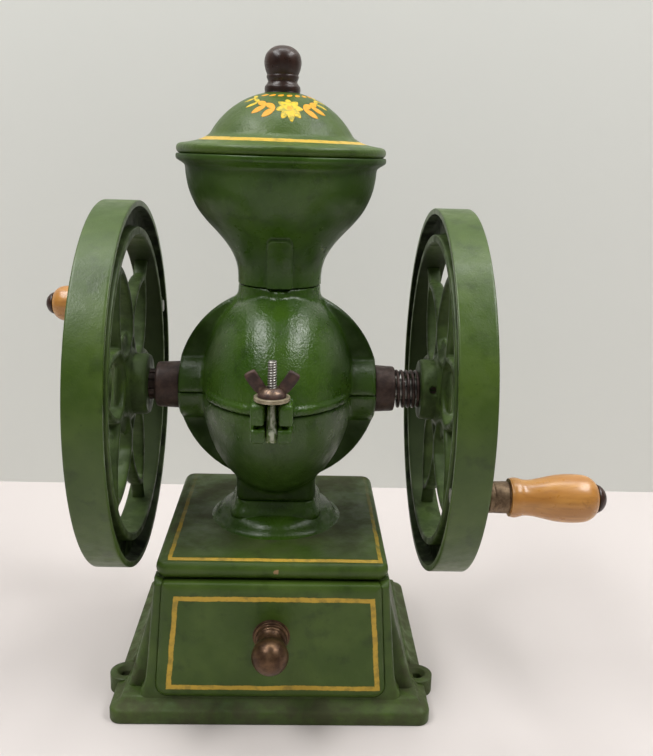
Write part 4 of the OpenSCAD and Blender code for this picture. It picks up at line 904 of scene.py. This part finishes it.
def leaf_line(count=120):
    """One leaf's rib as a closed line. Its half width grows with the distance from the hub, so that two
    neighbours share one spoke; past the widest place it falls as (1 - s^2)^0.85 to a pointed tip. Points are
    evenly spaced."""
    along = LEAF_FOOT + (LEAF_TIP - LEAF_FOOT) * (1 - np.cos(np.linspace(0, np.pi, 240))) / 2
    s = np.clip((along - LEAF_WIDEST) / (LEAF_TIP - LEAF_WIDEST), 0, 1)
    spoke = np.tan(np.radians(30)) * along - SPOKE_IN
    arch = LEAF_HALF * (1 - s**2) ** 0.85
    foot = np.sqrt(np.clip((along - LEAF_FOOT) / LEAF_ROUND, 0, 1))
    half = np.minimum(spoke, arch) * foot
    loop = np.concatenate([np.stack([along, half], -1), np.stack([along, -half], -1)[::-1][1:-1]])
    closed = np.concatenate([loop, loop[:1]])
    run = np.concatenate([[0], np.cumsum(np.linalg.norm(np.diff(closed, axis=0), axis=1))])
    even = np.linspace(0, run[-1], count, endpoint=False)
    return np.stack([np.interp(even, run, closed[:, k]) for k in range(2)], -1)


def boxy(wave):
    """A sine or cosine drawn out to the power 0.4, so that a circle becomes a rounded square."""
    return np.sign(wave) * np.abs(wave) ** 0.4


rib_angle = np.arange(RIB_SIDES) * 2 * np.pi / RIB_SIDES
rib_across = RIB_HALF_W * boxy(np.cos(rib_angle))
rib_depth = RIB_MIDDLE + RIB_HALF_D * boxy(np.sin(rib_angle))


def rib_grid(line, closed):
    """The rib's rounded section carried along a line in the wheel's plane. Points are (w, a, b), with w
    along the axle."""
    ahead = (np.roll(line, -1, 0) - np.roll(line, 1, 0)) if closed else np.gradient(line, axis=0)
    ahead = ahead / np.linalg.norm(ahead, axis=1, keepdims=True)
    side = np.stack([-ahead[:, 1], ahead[:, 0]], -1)
    flat = line[:, None] + rib_across[None, :, None] * side[:, None]
    depth = np.broadcast_to(rib_depth, flat.shape[:2])[..., None]
    points = np.concatenate([depth, flat], -1)
    if not closed:
        ends = points[[0, -1]].mean(1, keepdims=True) + 0 * points[[0, -1]]
        points = np.concatenate([ends[:1], points, ends[1:]])
    return points.reshape(-1, 3), grid_quads(len(points), RIB_SIDES, closed, True)


def spun(grid, turn):
    """A grid in (w, a, b) turned about the wheel's axis."""
    points, quads = grid
    w, a, b = points.T
    c, s = np.cos(turn), np.sin(turn)
    return np.stack([w, c * a - s * b, s * a + c * b], -1), quads


WHEEL_AXES = ((0, 0, 0), (1, 0, 0), (0, 1, 0))
leaf_rib = rib_grid(leaf_line(), True)
tip_bar = rib_grid(np.stack([np.linspace(TIP_FROM, TIP_TO, TIP_RINGS), np.zeros(TIP_RINGS)], -1), False)
dish_outline = flowing([(4.6, 20.0), (4.6, 22.8), (5.6, 23.6), (7.2, 25.6), (9.0, 29.0), (10.2, 33.0), (10.9, 36.6),
                        (11.6, 38.4), (12.6, 38.8), (13.6, 38.0), (14.0, 35.0), (14.4, 30.0), (15.4, 26.0),
                        (18.0, 23.6), (18.0, 20.0)], 4)
dish = turned_grid(dish_outline, *WHEEL_AXES, DISH_SIDES, True)
lace_grid = joined(dish, *[spun(part, turn) for turn in LEAVES for part in (leaf_rib, tip_bar)])
lace = melted(lay_mesh("wheel_lace", *lace_grid), LACE_SQUARES)
lace_points = worn_round(lace.data, LACE_ROUNDS)
lace_quads = np.empty(len(lace.data.loops), np.int32)
lace.data.loops.foreach_get("vertex_index", lace_quads)
lace_quads = lace_quads.reshape(-1, 4)
bpy.data.objects.remove(lace)
print("lace squares:", len(lace_quads))

# %% Wheels
RIM_SIDES, HUB_SIDES, BOSS_SIDES = 216, 180, 48
SCREW_TURNS = np.radians([347, 167])
boss_outline = flowing([(2.8, 0), (2.8, 0), (2.8, 6.8), (3.2, 7.8), (4.0, 8.0), (7.2, 8.3), (9.5, 10), (12, 10),
                        (16.5, 10), (18.5, 8.3), (24.0, 8.0), (24.8, 7.6), (25.0, 6.8), (25.0, 0), (25.0, 0)], 4)
WHEELS = (("left", LEFT_RIM_X, -1, CRANK_ANGLE), ("right", RIGHT_RIM_X, 1, CRANK_ANGLE + np.pi))
for (side, rim_x, outward, crank_turn), screw_turn in zip(WHEELS, SCREW_TURNS):
    rim = turned_grid(rim_outline, *WHEEL_AXES, RIM_SIDES, True)
    hub_points, hub_quads = turned_grid(hub_outline, *WHEEL_AXES, HUB_SIDES, True)
    hub = set_screw_hole(hub_points, screw_turn), hub_quads
    crank_pin = (0, CRANK_R * np.cos(crank_turn), CRANK_R * np.sin(crank_turn))
    boss = turned_grid(boss_outline, crank_pin, *WHEEL_AXES[1:], BOSS_SIDES)
    points, quads = joined(rim, hub, boss, (lace_points, lace_quads))
    points = np.stack([rim_x + outward * points[:, 0], points[:, 1], SHAFT_Z + points[:, 2]], -1)
    dress(lay_mesh(f"{side}_wheel", points, quads), "crank", "green_enamel", green_wheel, f"{side}_flywheel")

# %% [markdown]
# ## Hopper and lid
# The hopper is a bowl on a narrow neck with a flat rib in front, and the lid a shallow dome with a brim. Both
# are turned shapes: an outline carried round the vertical axis, outside and inside in one closed loop.

# %% Hopper
SEAM_Z, BOWL_SIDES, RIB_CROWD = 306.0, 200, 0.6
RIB_HALF, RIB_TOP, RIB_RIGHT, RIB_EDGE = 9.0, 27.0, 0.6, 1.2
outside = flowing([(0, 30.5), (5, 30.5), (12, 31.3), (20, 34.0), (28, 38.8), (36, 45.4), (44, 52.9), (52, 59.2),
                   (60, 63.4), (68, 66.2), (76, 67.7), (82, 68.3), (84.0, 69.9), (86.0, 73.2), (87.3, 74.4),
                   (89.0, 74.6), (90.3, 74.2), (90.6, 73.2)], 6)
inside = flowing([(90.6, 65.0), (90.2, 63.6), (88, 63.5), (76, 63.4), (68, 61.6), (60, 57.8), (52, 53.0),
                  (44, 47.4), (36, 41.4), (28, 34.9), (20, 30.1), (12, 27.3), (5, 26.0), (0, 23.2), (-5.6, 23.1)], 4)
spigot = flowing([(-6, 23.6), (-6, 26.6), (-5.6, 27), (-0.4, 27), (0, 27.4), (0, 29.8)], 2)
bowl_outline = np.concatenate([outside, inside, spigot])
bowl_outline[:, 0] += SEAM_Z
points, quads = turned_grid(bowl_outline, (0, 0, 0), UP, FRONT, BOWL_SIDES, True, RIB_CROWD)
radius = np.hypot(points[:, 0], points[:, 1])
rise = points[:, 2] - SEAM_Z
is_outside = np.repeat(np.arange(len(bowl_outline)) < len(outside), BOWL_SIDES) & (points[:, 1] < 0)
off_rib = ((points[:, 0] - RIB_RIGHT) ** 4 + np.maximum(rise - RIB_TOP, 0) ** 4) ** 0.25
edge = np.clip((RIB_HALF - off_rib) / RIB_EDGE, 0, 1)
proud = np.interp(rise, [0, 26, 44], [3.5, 3.9, 2.0])
rib = is_outside * proud * edge * edge * (3 - 2 * edge)
points[:, :2] *= ((radius + rib) / np.maximum(radius, 1e-6))[:, None]
hopper = lay_mesh("hopper_bowl", points, quads)
dress(hopper, "upper_case", "green_enamel", green_hopper, "hopper")

# %% Lid
BRIM_TOP, BRIM_R, BRIM_RISE = 403.2, 74.6, 3.5
DOME_HIGH, DOME_R, CAP_R = 37.0, 58.0, 50.5


def dome_rise(r):
    """Height over the brim: a ball cap to radius CAP_R, then an easing flare down to the brim's edge."""
    cap = DOME_HIGH - DOME_R + np.sqrt(DOME_R**2 - np.minimum(r, CAP_R) ** 2)
    t = np.clip((r - CAP_R) / (BRIM_R - CAP_R), 0, 1)
    edge = DOME_HIGH - DOME_R + np.sqrt(DOME_R**2 - CAP_R**2)
    return np.where(r <= CAP_R, cap, BRIM_RISE * (1 - t) + (edge - BRIM_RISE) * (1 - t) ** 4.4)


PAD_R, BORE_R, LID_WALL, LID_SIDES = 12.0, 2.2, 4, 144
PAD_Z = BRIM_TOP + float(dome_rise(np.array(PAD_R)))


def dome_line(r):
    """The dome's outline at the radii r, cut flat at the pad that carries the knob."""
    return np.stack([np.minimum(BRIM_TOP + dome_rise(r), PAD_Z), r], -1)


top = dome_line(np.concatenate([[BORE_R, PAD_R - 1], np.linspace(PAD_R + 0.4, 71.0, 60)]))
edge = flowing([(403.3, 72.2), (402.6, 73.3), (401.4, 74.0), (400.0, 74.2), (398.6, 73.9), (397.5, 73.2),
                (396.7, 72.0)], 6)
under = np.array([(396.65, 70.0), (396.65, 63.6), (396.4, 62.7), (392.4, 62.6), (391.7, 62.2), (391.6, 61.4),
                  (391.6, 59.6), (391.9, 58.8), (393.0, 58.6)])
hollow = dome_line(np.linspace(58.4, BORE_R, 44)) - [LID_WALL, 0]
points, quads = turned_grid(np.concatenate([top, edge, under, hollow]), (0, 0, 0), UP, FRONT, LID_SIDES, True)
lid = lay_mesh("lid_dome", points, quads)
dress(lid, "lid_unit", "green_enamel", green_lid, "lid")

# %% [markdown]
# ## A painted garland
# The lid carries a small hand-painted ornament in yellow and orange. Ours is a plain garland: a hanging row of
# leaves with a rosette in the middle, under a band of short strokes. Each leaf is one brush stroke, a thin lens
# of paint whose points are laid on the dome, so it has the slight thickness of real paint and follows the curve.

# %% Garland paints


def ornament_paint(name, thin, thick):
    """Brushed oil colour: thin where the brush ran dry, in streaks."""
    finish = Finish(name, Roughness=0.45, Specular_IOR_Level=0.3)
    finish.wire(Base_Color=finish.blend(finish.span(finish.noise(2.6, 4.0), 0.38, 0.60), thin, thick),
                Normal=finish.bump(finish.noise(0.8, 3.0), 0.06, 0.5))
    return finish.material


paint_yellow = ornament_paint("paint_yellow", (0.34, 0.30, 0.03), (0.72, 0.47, 0.02))
paint_orange = ornament_paint("paint_orange", (0.62, 0.33, 0.015), (0.78, 0.30, 0.012))
print("garland paints:", paint_yellow.name, paint_orange.name)

# %% Garland
GARLAND_SINK, GARLAND_RISE = 0.25, 0.14
GARLAND_TURN, GARLAND_R, GARLAND_DROOP, GARLAND_REACH = 9.0, 38.0, 13.0, 52.0


def brush_stroke(start, end, half_width, rings=14, sides=10):
    """A lens of paint from start to end, in plan: width goes as the sine of the share to the power 0.8; its
    upper side rises over the dome and its lower side lies just under the dome's skin."""
    t = np.linspace(0.0, 1.0, rings)[:, None]
    a = (np.arange(sides) * 2 * np.pi / sides)[None, :]
    start, end = np.asarray(start, float), np.asarray(end, float)
    run = end - start
    across = np.array([-run[1], run[0]]) / np.hypot(*run)
    middle = start + t[..., None] * run
    width = half_width * np.sin(np.pi * t) ** 0.8
    plan = middle + (width * np.cos(a))[..., None] * across
    lift = np.sin(a) * np.where(np.sin(a) > 0, GARLAND_RISE, GARLAND_SINK)
    height = BRIM_TOP + dome_rise(np.hypot(plan[..., 0], plan[..., 1])) + lift * (width / half_width) ** 0.5
    points = np.concatenate([plan, height[..., None]], -1)
    return points.reshape(-1, 3), grid_quads(rings, sides, False, True)


def on_dome(turn, r):
    """A place on the lid in plan: turn is the angle from the front, to the right, in degrees."""
    return np.array([r * np.sin(np.radians(turn)), -r * np.cos(np.radians(turn))])


def hanging_leaves(turns, length, half_width):
    """Pairs of strokes along a hanging arc: each pair starts on the arc and spreads outward from the middle."""
    strokes = []
    for offset in turns:
        r = GARLAND_R - GARLAND_DROOP * (offset / GARLAND_REACH) ** 2
        along = np.sign(offset) * np.degrees(length / r)
        turn = GARLAND_TURN + offset
        for swing, out in ((0.8, 0.62), (0.9, -0.50)):
            tip = on_dome(turn + swing * along, r + out * length)
            strokes.append(brush_stroke(on_dome(turn, r), tip, half_width))
    return joined(*strokes)


HEART = on_dome(GARLAND_TURN, 36.0)
HEART_R, PETAL_FROM, PETAL_TO, PETAL_HALF = 2.4, 1.0, 9.4, 2.5
PETAL_TURNS = np.arange(8) * np.pi / 4 + 0.2
BAND_TURNS, BAND_LEAN = np.arange(-48, 60, 16) + GARLAND_TURN, 12
BAND_LOW_R, BAND_HIGH_R, BAND_HALF = 22.5, 19.5, 1.7
petals = [brush_stroke(HEART + PETAL_FROM * out, HEART + PETAL_TO * out, PETAL_HALF)
          for out in np.stack([np.cos(PETAL_TURNS), np.sin(PETAL_TURNS)], -1)]
heart_dot = brush_stroke(HEART - [HEART_R, 0], HEART + [HEART_R, 0], HEART_R)
band = [brush_stroke(on_dome(turn, BAND_LOW_R), on_dome(turn + BAND_LEAN, BAND_HIGH_R), BAND_HALF)
        for turn in BAND_TURNS]
yellow_strokes = joined(hanging_leaves([-50.0, -38.0, 38.0, 50.0], 8.5, 1.5), *petals)
orange_strokes = joined(hanging_leaves([-26.0, -15.0, 15.0, 26.0], 9.5, 2.3), heart_dot, *band)
for name, grid, paint in (("garland_yellow", yellow_strokes, paint_yellow),
                          ("garland_orange", orange_strokes, paint_orange)):
    dress(lay_mesh(name, *grid), "lid_unit", "green_enamel", paint)

# %% Lid knob
KNOB_SIDES = 64
knob_outline = turned_line([(0, 0), (0, 0), (0, 11.6), (0.6, 12.3), (2.2, 12.6), (4.2, 12.3), (5.6, 11.2),
                            (7.5, 10.3), (9.0, 10.8), (10.4, 11.3), (11.5, 11.1), (12.1, 10.9), (13.2, 11.4),
                            (16, 12.4), (20.5, 13.0), (25, 12.0), (28.4, 9.4), (30.6, 5.8), (31.3, 2.6),
                            (31.38, 0), (31.38, 0)], 6)
lid_knob = lay_mesh("lid_knob_turned", *turned_grid(knob_outline, (0, 0, PAD_Z), UP, FRONT, KNOB_SIDES))
dress(lid_knob, "lid_unit", "dark_wood", dark_wood, "lid_knob")

# %% [markdown]
# ## Drawer
# The drawer front is a slab with broad round edges, wider at its foot. Its grid carries one edge section
# round the outline. The bronze knob is turned: a rose, a ring, a waist and a round head.

# %% Drawer front
DRAWER_FACE, DRAWER_BACK, DRAWER_MID_Z = -93.5, -83.5, 66.0


def front_grid():
    """A broad round edge carried along the outline, then the face drawn in to the middle."""
    section = [(0.0, DRAWER_BACK), (0.0, -89.6), (0.05, -91.0), (0.4, -91.7), (1.2, -92.3), (2.6, -92.85),
               (4.4, -93.3), (6.8, DRAWER_FACE)]
    rows = []
    for inset, y in section:
        loop = drawer_loop(inset)
        rows.append(np.column_stack([loop[:, 0], np.full(len(loop), y), loop[:, 1]]))
    middle = np.array([0.0, 0.0, DRAWER_MID_Z])
    face = [middle + (rows[-1] - middle) * [k, 1, k] for k in (0.97, 0.85, 0.7, 0.5, 0.3, 0.12, 0.0)]
    back = [middle + (rows[0] - middle) * [k, 1, k] for k in (0.0, 0.4, 0.8)]
    return loft(back + rows + face)


drawer_front = lay_mesh("drawer_panel", *front_grid())
dress(drawer_front, "drawer", "green_enamel", green_drawer, "drawer_front")

# %% Drawer knob
PULL_Z, PULL_SIDES = 68.55, 72
pull_outline = turned_line([(0, 0), (0, 0), (0, 12.2), (0.4, 12.5), (2.2, 12.5), (2.8, 12.0), (3.2, 11.0),
                            (4.2, 10.8), (5.6, 11.2), (7.0, 10.9), (8.2, 9.6), (10.5, 8.6), (12.5, 8.4), (15, 9.4),
                            (19, 11.6), (24.7, 12.75), (29.5, 12.0), (33.5, 9.4), (36.2, 5.6), (37.3, 2.4),
                            (37.5, 0), (37.5, 0)], 6)
pull = lay_mesh("drawer_pull", *turned_grid(pull_outline, (0, DRAWER_FACE, PULL_Z), FRONT, UP, PULL_SIDES))
dress(pull, "drawer", "bronze", old_bronze, "drawer_knob")

# %% [markdown]
# ## Crank handles
# Each handle is a steel spindle with an iron ferrule, a wooden grip that swells towards its end, and a dark
# wooden button. All are turned shapes about the spindle's axis, drawn once and set on both cranks.

# %% Handles
HANDLE_SIDES = 64
grip_outline = turned_line([(39.4, 5.1), (39.4, 5.1), (39.4, 11.6), (39.8, 12.3), (42.2, 12.9), (45.0, 12.6),
                            (48.6, 11.7), (54, 11.8), (61, 13.2), (69, 14.9), (77, 15.65), (84, 15.6), (89.5, 14.8),
                            (93.2, 12.9), (95.6, 10.4), (96.4, 8.8), (96.4, 8.2), (96.4, 5.1), (96.4, 5.1)], 6)
ferrule_outline = turned_line([(25.4, 5.1), (25.4, 5.1), (25.4, 9.2), (25.7, 9.9), (26.4, 10.2), (28.6, 10.2),
                               (29.2, 9.9), (29.8, 10.2), (37.0, 10.4), (38.2, 10.3), (38.8, 9.9), (39.38, 9.6),
                               (39.38, 5.1), (39.38, 5.1)], 5)
button_outline = turned_line([(96.7, 0), (96.7, 0), (96.7, 8.9), (96.9, 9.1), (98.2, 8.9), (99.8, 7.9),
                              (101.4, 6.2), (102.6, 3.9), (103.2, 1.6), (103.27, 0), (103.27, 0)], 6)
for side, rim_x, outward, turn in WHEELS:
    centre = np.array([rim_x, CRANK_R * np.cos(turn), SHAFT_Z + CRANK_R * np.sin(turn)])
    for kind, outline, body, slot, paint, node, loop in (
            ("grip", grip_outline, f"{side}_handle", "honey_wood", honey_wood, f"{side}_grip", True),
            ("ferrule", ferrule_outline, f"{side}_handle", "rusty_ferrule", rusty_ferrule, f"{side}_ferrule", True),
            ("button", button_outline, "crank", "dark_wood", dark_wood, f"{side}_end_ball", False)):
        turned = turned_grid(outline, centre, outward * RIGHT, UP, HANDLE_SIDES, loop)
        dress(lay_mesh(f"{side}_{kind}_turned", *turned), body, slot, paint, node)

# %% [markdown]
# ## Collars and spring
# A brown iron collar closes the bearing on each side. On the right a coil spring pushes the wheel outwards: a
# round wire carried along a helix whose two end turns lie flat.

# %% Collars
COLLAR_START, LEFT_COLLAR_L, RIGHT_COLLAR_L, COLLAR_SIDES = 74.0, 17.5, 14.5, 72
collar_left = flowing([(53.5, 8.0), (53.5, 8.0), (53.5, 14.0), (53.5, 14.0), (73.4, 14.0), (73.4, 14.0),
                       (73.5, 17.2), (73.9, 17.7), (76, 17.7), (86, 17.2), (89.5, 17.0), (90.8, 16.4),
                       (91.4, 15.2), (91.5, 13.5), (91.5, 8.0), (91.5, 8.0)], 5)
collar_right = collar_left.copy()
past = collar_left[:, 0] - COLLAR_START
collar_right[:, 0] = np.where(past > 0, COLLAR_START + past * RIGHT_COLLAR_L / LEFT_COLLAR_L, collar_left[:, 0])
for name, node, outline, along in (("left_collar", "left_bush", collar_left, -RIGHT),
                                   ("right_collar", "right_bush", collar_right, RIGHT)):
    collar = lay_mesh(name, *turned_grid(outline, (0, 0, SHAFT_Z), along, UP, COLLAR_SIDES, True))
    dress(collar, "stand", "dark_iron", brown_iron, node)

# %% Spring
SPRING_FROM, SPRING_TO, SPRING_R, WIRE_R, SPRING_TURNS = 88.8, 107.3, 13.5, 1.2, 4.7
COIL_RINGS, COIL_SIDES, LEAST_PITCH = 260, 14, 0.12


def coil(x0, x1, mean_r, wire_r, turns, rings, sides):
    """A wire carried along a helix: the pitch eases off in the first and last half turn."""
    t = np.linspace(0, 1, rings)
    climb = np.cumsum(np.clip(np.minimum(t, 1 - t) * turns / 0.5, LEAST_PITCH, 1.0))
    climb = (climb - climb[0]) / (climb[-1] - climb[0])
    angle = 2 * np.pi * turns * t
    out = np.stack([np.zeros(rings), np.cos(angle), np.sin(angle)], -1)
    line = mean_r * out + np.array([0, 0, SHAFT_Z])
    line[:, 0] = x0 + wire_r + (x1 - x0 - 2 * wire_r) * climb
    tilt = np.arange(sides) * 2 * np.pi / sides
    ends = np.clip(np.minimum(np.arange(rings), rings - 1 - np.arange(rings)) / 3.0, 0, 1) ** 0.5
    skin = (line[:, None] + wire_r * ends[:, None, None]
            * (np.cos(tilt)[None, :, None] * out[:, None] + np.sin(tilt)[None, :, None] * RIGHT))
    return skin.reshape(-1, 3), grid_quads(rings, sides, False, True)


spring_grid = coil(SPRING_FROM, SPRING_TO, SPRING_R, WIRE_R, SPRING_TURNS, COIL_RINGS, COIL_SIDES)
spring = lay_mesh("thrust_coil", *spring_grid)
dress(spring, "crank", "dark_iron", spring_iron, "thrust_spring")

# %% [markdown]
# ## The clamp
# A swing bolt with a wing nut holds the case shut. The bolt is a lathe grid whose radius also depends on the
# angle round it, which gives a true screw thread. Its lower part was painted over with the case and has worn
# bright in places; a light line down its middle is a painted highlight. The wing nut is a domed hub with two
# flat wings, each an outline with a round edge.

# %% Clamp finishes
CLAMP_X, CLAMP_Y, PIN_Z = -1.8, -94.0, 219.0


def beside_clamp(finish):
    """Distance from the bolt's axis."""
    return finish.off_line(finish.less(finish.axis(X), CLAMP_X * MM), finish.less(finish.axis(Y), CLAMP_Y * MM))


def bolt_finish():
    """Grey steel on the thread; below it green paint, rubbed through to bare metal in patches, and a light streak
    down the middle that is partly rubbed paint and partly a painted highlight.
    """
    finish = Finish("bolt_steel_painted")
    bare = finish.span(finish.noise(2.4, 5.0, 0.65, (1.0, 1.0, 0.35)), 0.52, 0.64)
    # A light line down the bolt's middle: painted highlight over rubbed paint.
    aside = finish.math("ABSOLUTE", finish.less(finish.axis(X), (CLAMP_X + 0.6) * MM))
    highlight_and_wear_streak = finish.product(finish.near(aside, 1.9, 0.8),
                            finish.span(finish.noise(3.0, 4.0, 0.6, (1.0, 1.0, 0.5)), 0.36, 0.56))
    low = finish.blend(finish.most(bare, highlight_and_wear_streak), GREEN_LIGHT, (0.42, 0.44, 0.34))
    thread = finish.along(Z, 239, 243)
    steel = finish.blend(finish.span(finish.noise(1.6, 4.0), 0.40, 0.66), (0.19, 0.18, 0.16), (0.33, 0.32, 0.29))
    finish.wire(Base_Color=finish.blend(thread, low, steel), Metallic=finish.product(thread, 0.75),
                Roughness=finish.span(finish.noise(2, 3.0), 0.3, 0.7, 0.30, 0.45),
                Normal=finish.bump(finish.noise(1.0, 3.0), 0.06, 0.5))
    return finish.material


def wing_finish():
    """Brown iron wings round a hub that the thumb keeps bright."""
    finish = Finish("wing_iron")
    hub = finish.product(finish.near(beside_clamp(finish), 9.4, 7.8), finish.along(Z, 252.5, 250.5))
    rubbed = finish.product(hub, finish.span(finish.noise(3.4, 4.0), 0.36, 0.58))
    patches = finish.span(finish.noise(5, 5.0), 0.38, 0.64)
    brown = finish.blend(patches, (0.030, 0.014, 0.010), (0.075, 0.038, 0.028))
    finish.wire(Base_Color=finish.blend(rubbed, brown, (0.17, 0.115, 0.08)),
                Metallic=finish.span(rubbed, 0.0, 1.0, 0.15, 0.85),
                Roughness=finish.span(rubbed, 0.0, 1.0, 0.55, 0.36),
                Normal=finish.bump(finish.noise(1.1, 3.0), 0.08, 0.6))
    return finish.material


bolt_steel = bolt_finish()
wing_iron = wing_finish()
print("clamp finishes:", bolt_steel.name, wing_iron.name)

# %% Swing bolt
THREAD_PITCH, THREAD_LOW, THREAD_DEEP = 1.75, 236.0, 0.62
BOLT_LOW, BOLT_TOP, BOLT_R, BOLT_CHAMFER = 222.0, 269.0, 3.15, 0.7
BOLT_ROWS, BOLT_SIDES, EYE_SIDES, NECK_SIDES = 200, 40, 56, 32


def threaded_rod(z0, z1, rows, sides):
    """Radius falls in a ridge that climbs one pitch per turn: r = R - depth * |2*frac(z/pitch - turn) - 1|."""
    z = np.linspace(z0, z1, rows)[:, None]
    a = (np.arange(sides) * 2 * np.pi / sides)[None, :]
    ridge = np.abs(2 * ((z / THREAD_PITCH - a / (2 * np.pi)) % 1.0) - 1)
    cut_in = THREAD_DEEP * np.clip((z - THREAD_LOW) / 2.0, 0, 1) * np.clip((ridge - 0.12) / 0.76, 0, 1)
    r = BOLT_R - cut_in - 0.5 * np.clip((z - BOLT_TOP + BOLT_CHAMFER) / BOLT_CHAMFER, 0, 1)
    points = np.stack([CLAMP_X + r * np.cos(a), CLAMP_Y + r * np.sin(a), z + 0 * a], -1)
    ends = np.stack([points[0] * 0 + [CLAMP_X, CLAMP_Y, z0], points[-1] * 0 + [CLAMP_X, CLAMP_Y, z1]])
    points = np.concatenate([ends[:1], points, ends[1:]])
    return points.reshape(-1, 3), grid_quads(rows + 2, sides, False, True)


eye_outline = flowing([(-3.65, 2.7), (-3.65, 2.7), (-3.65, 4.8), (-3.3, 5.6), (-2.4, 6.0), (0, 6.0), (2.4, 6.0),
                       (3.3, 5.6), (3.65, 4.8), (3.65, 2.7), (3.65, 2.7)], 4)
eye = turned_grid(eye_outline, (CLAMP_X, CLAMP_Y, PIN_Z), RIGHT, UP, EYE_SIDES, True)
swell = flowing([(221.5, 0), (221.5, 0), (221.5, 3.6), (226, 3.55), (231, 3.4), (236.5, 3.2), (237.5, 2.6),
                 (237.5, 0), (237.5, 0)], 4)
neck = turned_grid(swell, (CLAMP_X, CLAMP_Y, 0), UP, FRONT, NECK_SIDES)
rod = threaded_rod(BOLT_LOW, BOLT_TOP, BOLT_ROWS, BOLT_SIDES)
bolt = lay_mesh("swing_bolt_threaded", *joined(rod, eye, neck))
dress(bolt, "clamp_bolt", "plain_steel", bolt_steel, "swing_bolt")

# %% Washer and wing nut
WING_FOOT_Z, NUT_SIDES = 245.2, 64
washer_outline = flowing([(242.6, 3.5), (242.6, 3.5), (242.6, 11.2), (242.9, 11.8), (243.8, 12.0), (244.6, 11.8),
                          (245.0, 11.2), (245.0, 3.5), (245.0, 3.5)], 4)
washer_grid = turned_grid(washer_outline, (CLAMP_X, CLAMP_Y, 0), UP, FRONT, NUT_SIDES, True)
washer = lay_mesh("washer_turned", *washer_grid)
dress(washer, "nut_carrier", "washer_metal", washer_metal, "clamp_washer")


def wing_plate(mirror):
    """A wing seen from the front, as a smooth closed line; shrunken copies in front and behind round its edge."""
    line = flowing([(4.6, 2.0), (9.2, 1.8), (13.0, 5.4), (16.4, 10.2), (18.0, 13.2), (17.0, 15.0), (12.6, 17.4),
                    (10.9, 16.8), (7.8, 12.2), (5.0, 8.0), (3.9, 5.2), (4.6, 2.0)], 6)[:-1]
    middle = line.mean(0)
    rows = []
    for shrink, y in ((0.0, -2.0), (0.80, -2.0), (0.93, -1.75), (1.0, -0.9), (1.0, 0.9), (0.93, 1.75), (0.80, 2.0),
                      (0.0, 2.0)):
        x, z = (middle + shrink * (line - middle)).T
        rows.append(np.column_stack([CLAMP_X + mirror * x, np.full(len(x), CLAMP_Y + y), WING_FOOT_Z + z]))
    return loft(rows)


nut_outline = flowing([(245.25, 3.4), (245.25, 3.4), (245.25, 9.0), (245.6, 9.45), (246.6, 9.4), (248.2, 8.7),
                       (249.8, 7.3), (250.9, 5.8), (251.2, 4.6), (251.2, 3.4), (251.2, 3.4)], 5)
nut_hub = turned_grid(nut_outline, (CLAMP_X, CLAMP_Y, 0), UP, FRONT, NUT_SIDES, True)
wing_nut = lay_mesh("wing_nut_cast", *joined(nut_hub, wing_plate(-1), wing_plate(1)))
dress(wing_nut, "clamp_nut", "dark_iron", wing_iron, "wing_nut")

# %% [markdown]
# ## Pieces that keep their CAD shape
# Screws, pins, the shaft and the grinding set are plain turned or milled shapes, so their solids stay and only
# get a finish.

# %% CAD finishes
for paint, names in (
        (bright_steel, ("main_shaft", "shaft_key", "left_spindle", "right_spindle")),
        (dull_steel, ("foot_bolts", "fixed_burr", "fixed_burr_screws", "drawer_knob_screw", "drawer_screws",
                      "rotating_burr", "feed_worm", "lid_knob_screw")),
        (brown_iron, ("swing_bolt_pin", "hinge_pin", "hub_set_screws", "adjusting_nut", "hopper_screw")),
        (tin_plate, ("drawer_tray",))):
    for node in names:
        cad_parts[node].data.materials.clear()
        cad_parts[node].data.materials.append(paint)
    print(paint.name, "on", len(names), "CAD nodes")
